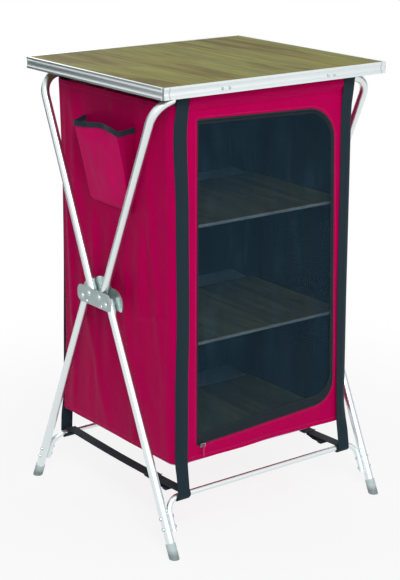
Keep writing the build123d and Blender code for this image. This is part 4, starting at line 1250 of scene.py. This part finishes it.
class CUPBOARD_OT_frame(bpy.types.Operator):
    """Give the measured metal, laminate, rubber and plastic parts their finishes"""

    bl_idname = "cupboard.frame_finishes"
    bl_label = "Frame finishes"

    def execute(self, context):
        for name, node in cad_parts.items():
            finish = next((slot for words, slot in FRAME_FINISHES if all(w in name for w in words)), None)
            if finish is None:
                continue
            if not node.material_slots:
                node.data.materials.append(finishes()[finish])
            for slot in node.material_slots:
                slot.material = finishes()[finish]
        return {"FINISHED"}


FRAME_FINISHES = ((("rivets",), "rivet_steel"), (("pivots",), "rivet_steel"), (("spacers",), "rivet_steel"),
                  (("_rail",), "rim_aluminium"), (("_leg",), "frame_aluminium"),
                  (("_tube",), "frame_aluminium"), (("bottom_bar",), "frame_aluminium"),
                  (("_foot",), "foot_rubber"), (("plate",), "hub_alloy"), (("stiffener",), "rim_aluminium"),
                  (("cradles",), "moulded_plastic"), (("worktop",), "worktop_laminate"),
                  (("shelf_board",), "shelf_laminate"), (("base_board",), "shelf_laminate"),
                  (("zip_slider",), "zip_metal"), (("zip_pull",), "zip_pull"))


class CUPBOARD_OT_body(bpy.types.Operator):
    """Hang the cloth body: sides, back, roof, floor and the front border"""

    bl_idname = "cupboard.body"
    bl_label = "Cloth body"

    def execute(self, context):
        sizes = context.scene.cupboard_sizes
        for side, sx in SIDES:
            panel = side_panel(side, sx, sizes)
            hems = self.hem_stitches(side, (sx, 0, 0),
                                     lambda across, up: side_spot(side, sx, across, up, sizes))
            hang(panel, nodes=(f"{side}_side_panel",))
            hang(hems)
        back = back_cloth(sizes)
        hems = self.hem_stitches("back", (0, 1, 0), lambda across, up: back_spot(across, up, sizes))
        hang(back, nodes=("back_panel",))
        hang(hems)
        roof = level_cloth("roof_cloth", "roof_panel", ("red_cloth", "lining"), 0.006, sizes)
        hang(roof, nodes=("roof_panel",))
        floor = level_cloth("floor_cloth", "floor_panel", ("sling_cloth", "red_cloth"), 0.0003, sizes)
        hang(floor, nodes=("floor_panel",))
        border = front_cloth(sizes)
        hang(border, nodes=("front_border",))
        seams, hem = self.border_stitches(sizes), upper_hem(sizes)
        hang(seams)
        hang(hem)
        return {"FINISHED"}

    def hem_stitches(self, name, out, spot_at):
        """Rows of stitches along a panel's foot and top hem."""
        pitch = bpy.context.scene.cupboard_sizes.stitch_pitch
        spots = []
        for up in (0.013, 0.987):
            line = [spot_at(0.02 + 0.96 * k / 90, up) + Vector(out) * 0.0001 for k in range(91)]
            spots += spots_along(line, pitch, out)
        return row_of(f"{name}_hem_stitches", stitch(), spots, "red_thread")

    def border_stitches(self, sizes):
        """Stitches along the foot of the front and along the door's hinge side."""
        half = CLOTH_X - 0.003 - sizes.corner_radius
        foot = [Vector((-half + 2 * half * k / 80, CLOTH_LOW_Z + 0.009)) for k in range(81)]
        foot = [Vector((p.x, p.y + rim_drop(p.x))) for p in foot]
        hinge = [Vector((DOOR_LOW.x - 0.0045, DOOR_LOW.z + (DOOR_HIGH.z - DOOR_LOW.z) * k / 60))
                 for k in range(61)]
        spots = []
        for line in (foot, hinge, zip_run((-0.0095, -0.0095, -0.0095, 0.0), (60, 90, 60, 10))):
            spots += spots_along(on_front(line, -0.0001), sizes.stitch_pitch, OUTWARD)
        return row_of("border_stitches", stitch(), spots, "red_thread")


class CUPBOARD_OT_door(bpy.types.Operator):
    """Make the net door with its binding, and the zip round it"""

    bl_idname = "cupboard.door"
    bl_label = "Net door and zip"

    def execute(self, context):
        sizes = context.scene.cupboard_sizes
        band = door_band(sizes)
        hang(band, DOOR_BODY, ("door_binding",))
        line = zip_run((sizes.low_binding - 0.002, 0.0048, 0.0048, 0.001), (60, 90, 60, 90))
        spots = spots_along(on_front(line, 0.0009), sizes.stitch_pitch, OUTWARD)
        seam = row_of("door_stitches", stitch(), spots, "dark_thread")
        hang(seam, DOOR_BODY)
        net = door_net(sizes)
        hang(net, DOOR_BODY, ("door_net",))
        tape = zip_band()
        hang(tape, nodes=("zip_tape",))
        line = zip_run((-0.0028, -0.0028, -0.0028, 0.0), (160, 290, 160, 10))
        spots = [(spot, along.cross(Vector(out)).normalized(), out)
                 for spot, along, out in spots_along(on_front(line, 0.0004), sizes.tooth_pitch, OUTWARD)]
        teeth = row_of("zip_teeth_row", tooth(), spots, "zip_teeth")
        hang(teeth)
        return {"FINISHED"}


class CUPBOARD_OT_pocket(bpy.types.Operator):
    """Sew the side pocket with its bound mouth"""

    bl_idname = "cupboard.pocket"
    bl_label = "Side pocket"

    def execute(self, context):
        pocket, band = side_pocket(), pocket_band()
        hang(pocket, nodes=("side_pocket",))
        hang(band, nodes=("pocket_binding",))
        return {"FINISHED"}


class CUPBOARD_OT_slings(bpy.types.Operator):
    """Lay the slings that carry the two shelves"""

    bl_idname = "cupboard.slings"
    bl_label = "Shelf slings"

    def execute(self, context):
        sizes = context.scene.cupboard_sizes
        for level in ("upper", "middle"):
            shelf_edge(level)
            piece = sling(level, sizes)
            smooth(piece)
            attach(piece, f"{level}_shelf")
            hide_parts(f"{level}_shelf_sling")
        return {"FINISHED"}


def shelf_edge(level):
    """A slim bright strip along a shelf's front edge, rounded over its top and foot."""
    low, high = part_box(f"{level}_shelf_board")
    piece = block(f"{level}_shelf_edge", (high.x - low.x - 0.004, 0.0022, high.z - low.z + 0.0006))
    piece.data.transform(Matrix.Translation((0, low.y - 0.0007, (low.z + high.z) / 2 + 0.0003)))
    modify(piece, "BEVEL", width=0.0007, segments=3, limit_method="ANGLE", angle_limit=radians(40))
    dress(piece, "shelf_strip")
    smooth(piece)
    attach(piece, f"{level}_shelf")


class CUPBOARD_OT_webbing(bpy.types.Operator):
    """Add the hanging straps, the depth straps, their buckles and loose ends"""

    bl_idname = "cupboard.webbing"
    bl_label = "Webbing and buckles"

    def execute(self, context):
        sizes = context.scene.cupboard_sizes
        for side, sx in SIDES:
            for end, sy in ENDS:
                low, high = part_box(f"{end}_{side}_strap")
                middle = abs(low.x + high.x) / 2
                wrap = corner_wrap(sx, sy, middle, STRAP_SHIFTS[end, side], sizes)
                piece = strap(f"{end}_{side}_webbing", 0.0, high.x - low.x + HANGING_EXTRA_W,
                              hanging_line(sy), sizes, 260, wrap)
                hang(piece, nodes=(f"{end}_{side}_strap",))
            low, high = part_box(f"{side}_depth_strap")
            tie = strap(f"{side}_depth_webbing", (low.x + high.x) / 2, high.x - low.x, tie_line(), sizes, 220)
            hang(tie, nodes=(f"{side}_depth_strap",))
            tail = strap_end(side, sizes)
            hang(tail, nodes=(f"{side}_strap_tail",))
            clasp = buckle(side)
            hang(clasp, nodes=(f"{side}_buckle",))
        return {"FINISHED"}


class CUPBOARD_PT_panel(bpy.types.Panel):
    """Sizes, colours and building steps of the cupboard"""

    bl_idname = "CUPBOARD_PT_panel"
    bl_label = "Camping cupboard"
    bl_space_type = "VIEW_3D"
    bl_region_type = "UI"
    bl_category = "Cupboard"

    def draw(self, context):
        layout = self.layout
        scene = context.scene
        for title, group in (("Sizes", scene.cupboard_sizes), ("Colours", scene.cupboard_colours)):
            box = layout.box()
            box.label(text=title)
            for name in group.__annotations__:
                box.prop(group, name)
        for step in STEPS:
            layout.operator(step.bl_idname)


STEPS = (CUPBOARD_OT_frame, CUPBOARD_OT_body, CUPBOARD_OT_door, CUPBOARD_OT_pocket, CUPBOARD_OT_slings,
         CUPBOARD_OT_webbing, CUPBOARD_OT_stage)
CLASSES = (CupboardSizes, CupboardColours, CUPBOARD_PT_panel) + STEPS


def register():
    """Register the classes and hang the settings on the scene."""
    for cls in CLASSES:
        bpy.utils.register_class(cls)
    bpy.types.Scene.cupboard_sizes = PointerProperty(type=CupboardSizes)
    bpy.types.Scene.cupboard_colours = PointerProperty(type=CupboardColours)


def unregister():
    """Take the settings off the scene and unregister the classes."""
    del bpy.types.Scene.cupboard_colours
    del bpy.types.Scene.cupboard_sizes
    for cls in reversed(CLASSES):
        bpy.utils.unregister_class(cls)


def main():
    """Build every piece in order."""
    register()
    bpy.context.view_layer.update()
    bpy.ops.cupboard.frame_finishes()
    bpy.ops.cupboard.body()
    bpy.ops.cupboard.door()
    bpy.ops.cupboard.pocket()
    bpy.ops.cupboard.slings()
    bpy.ops.cupboard.webbing()
    bpy.ops.cupboard.stage()


if __name__ == "__main__":
    main()
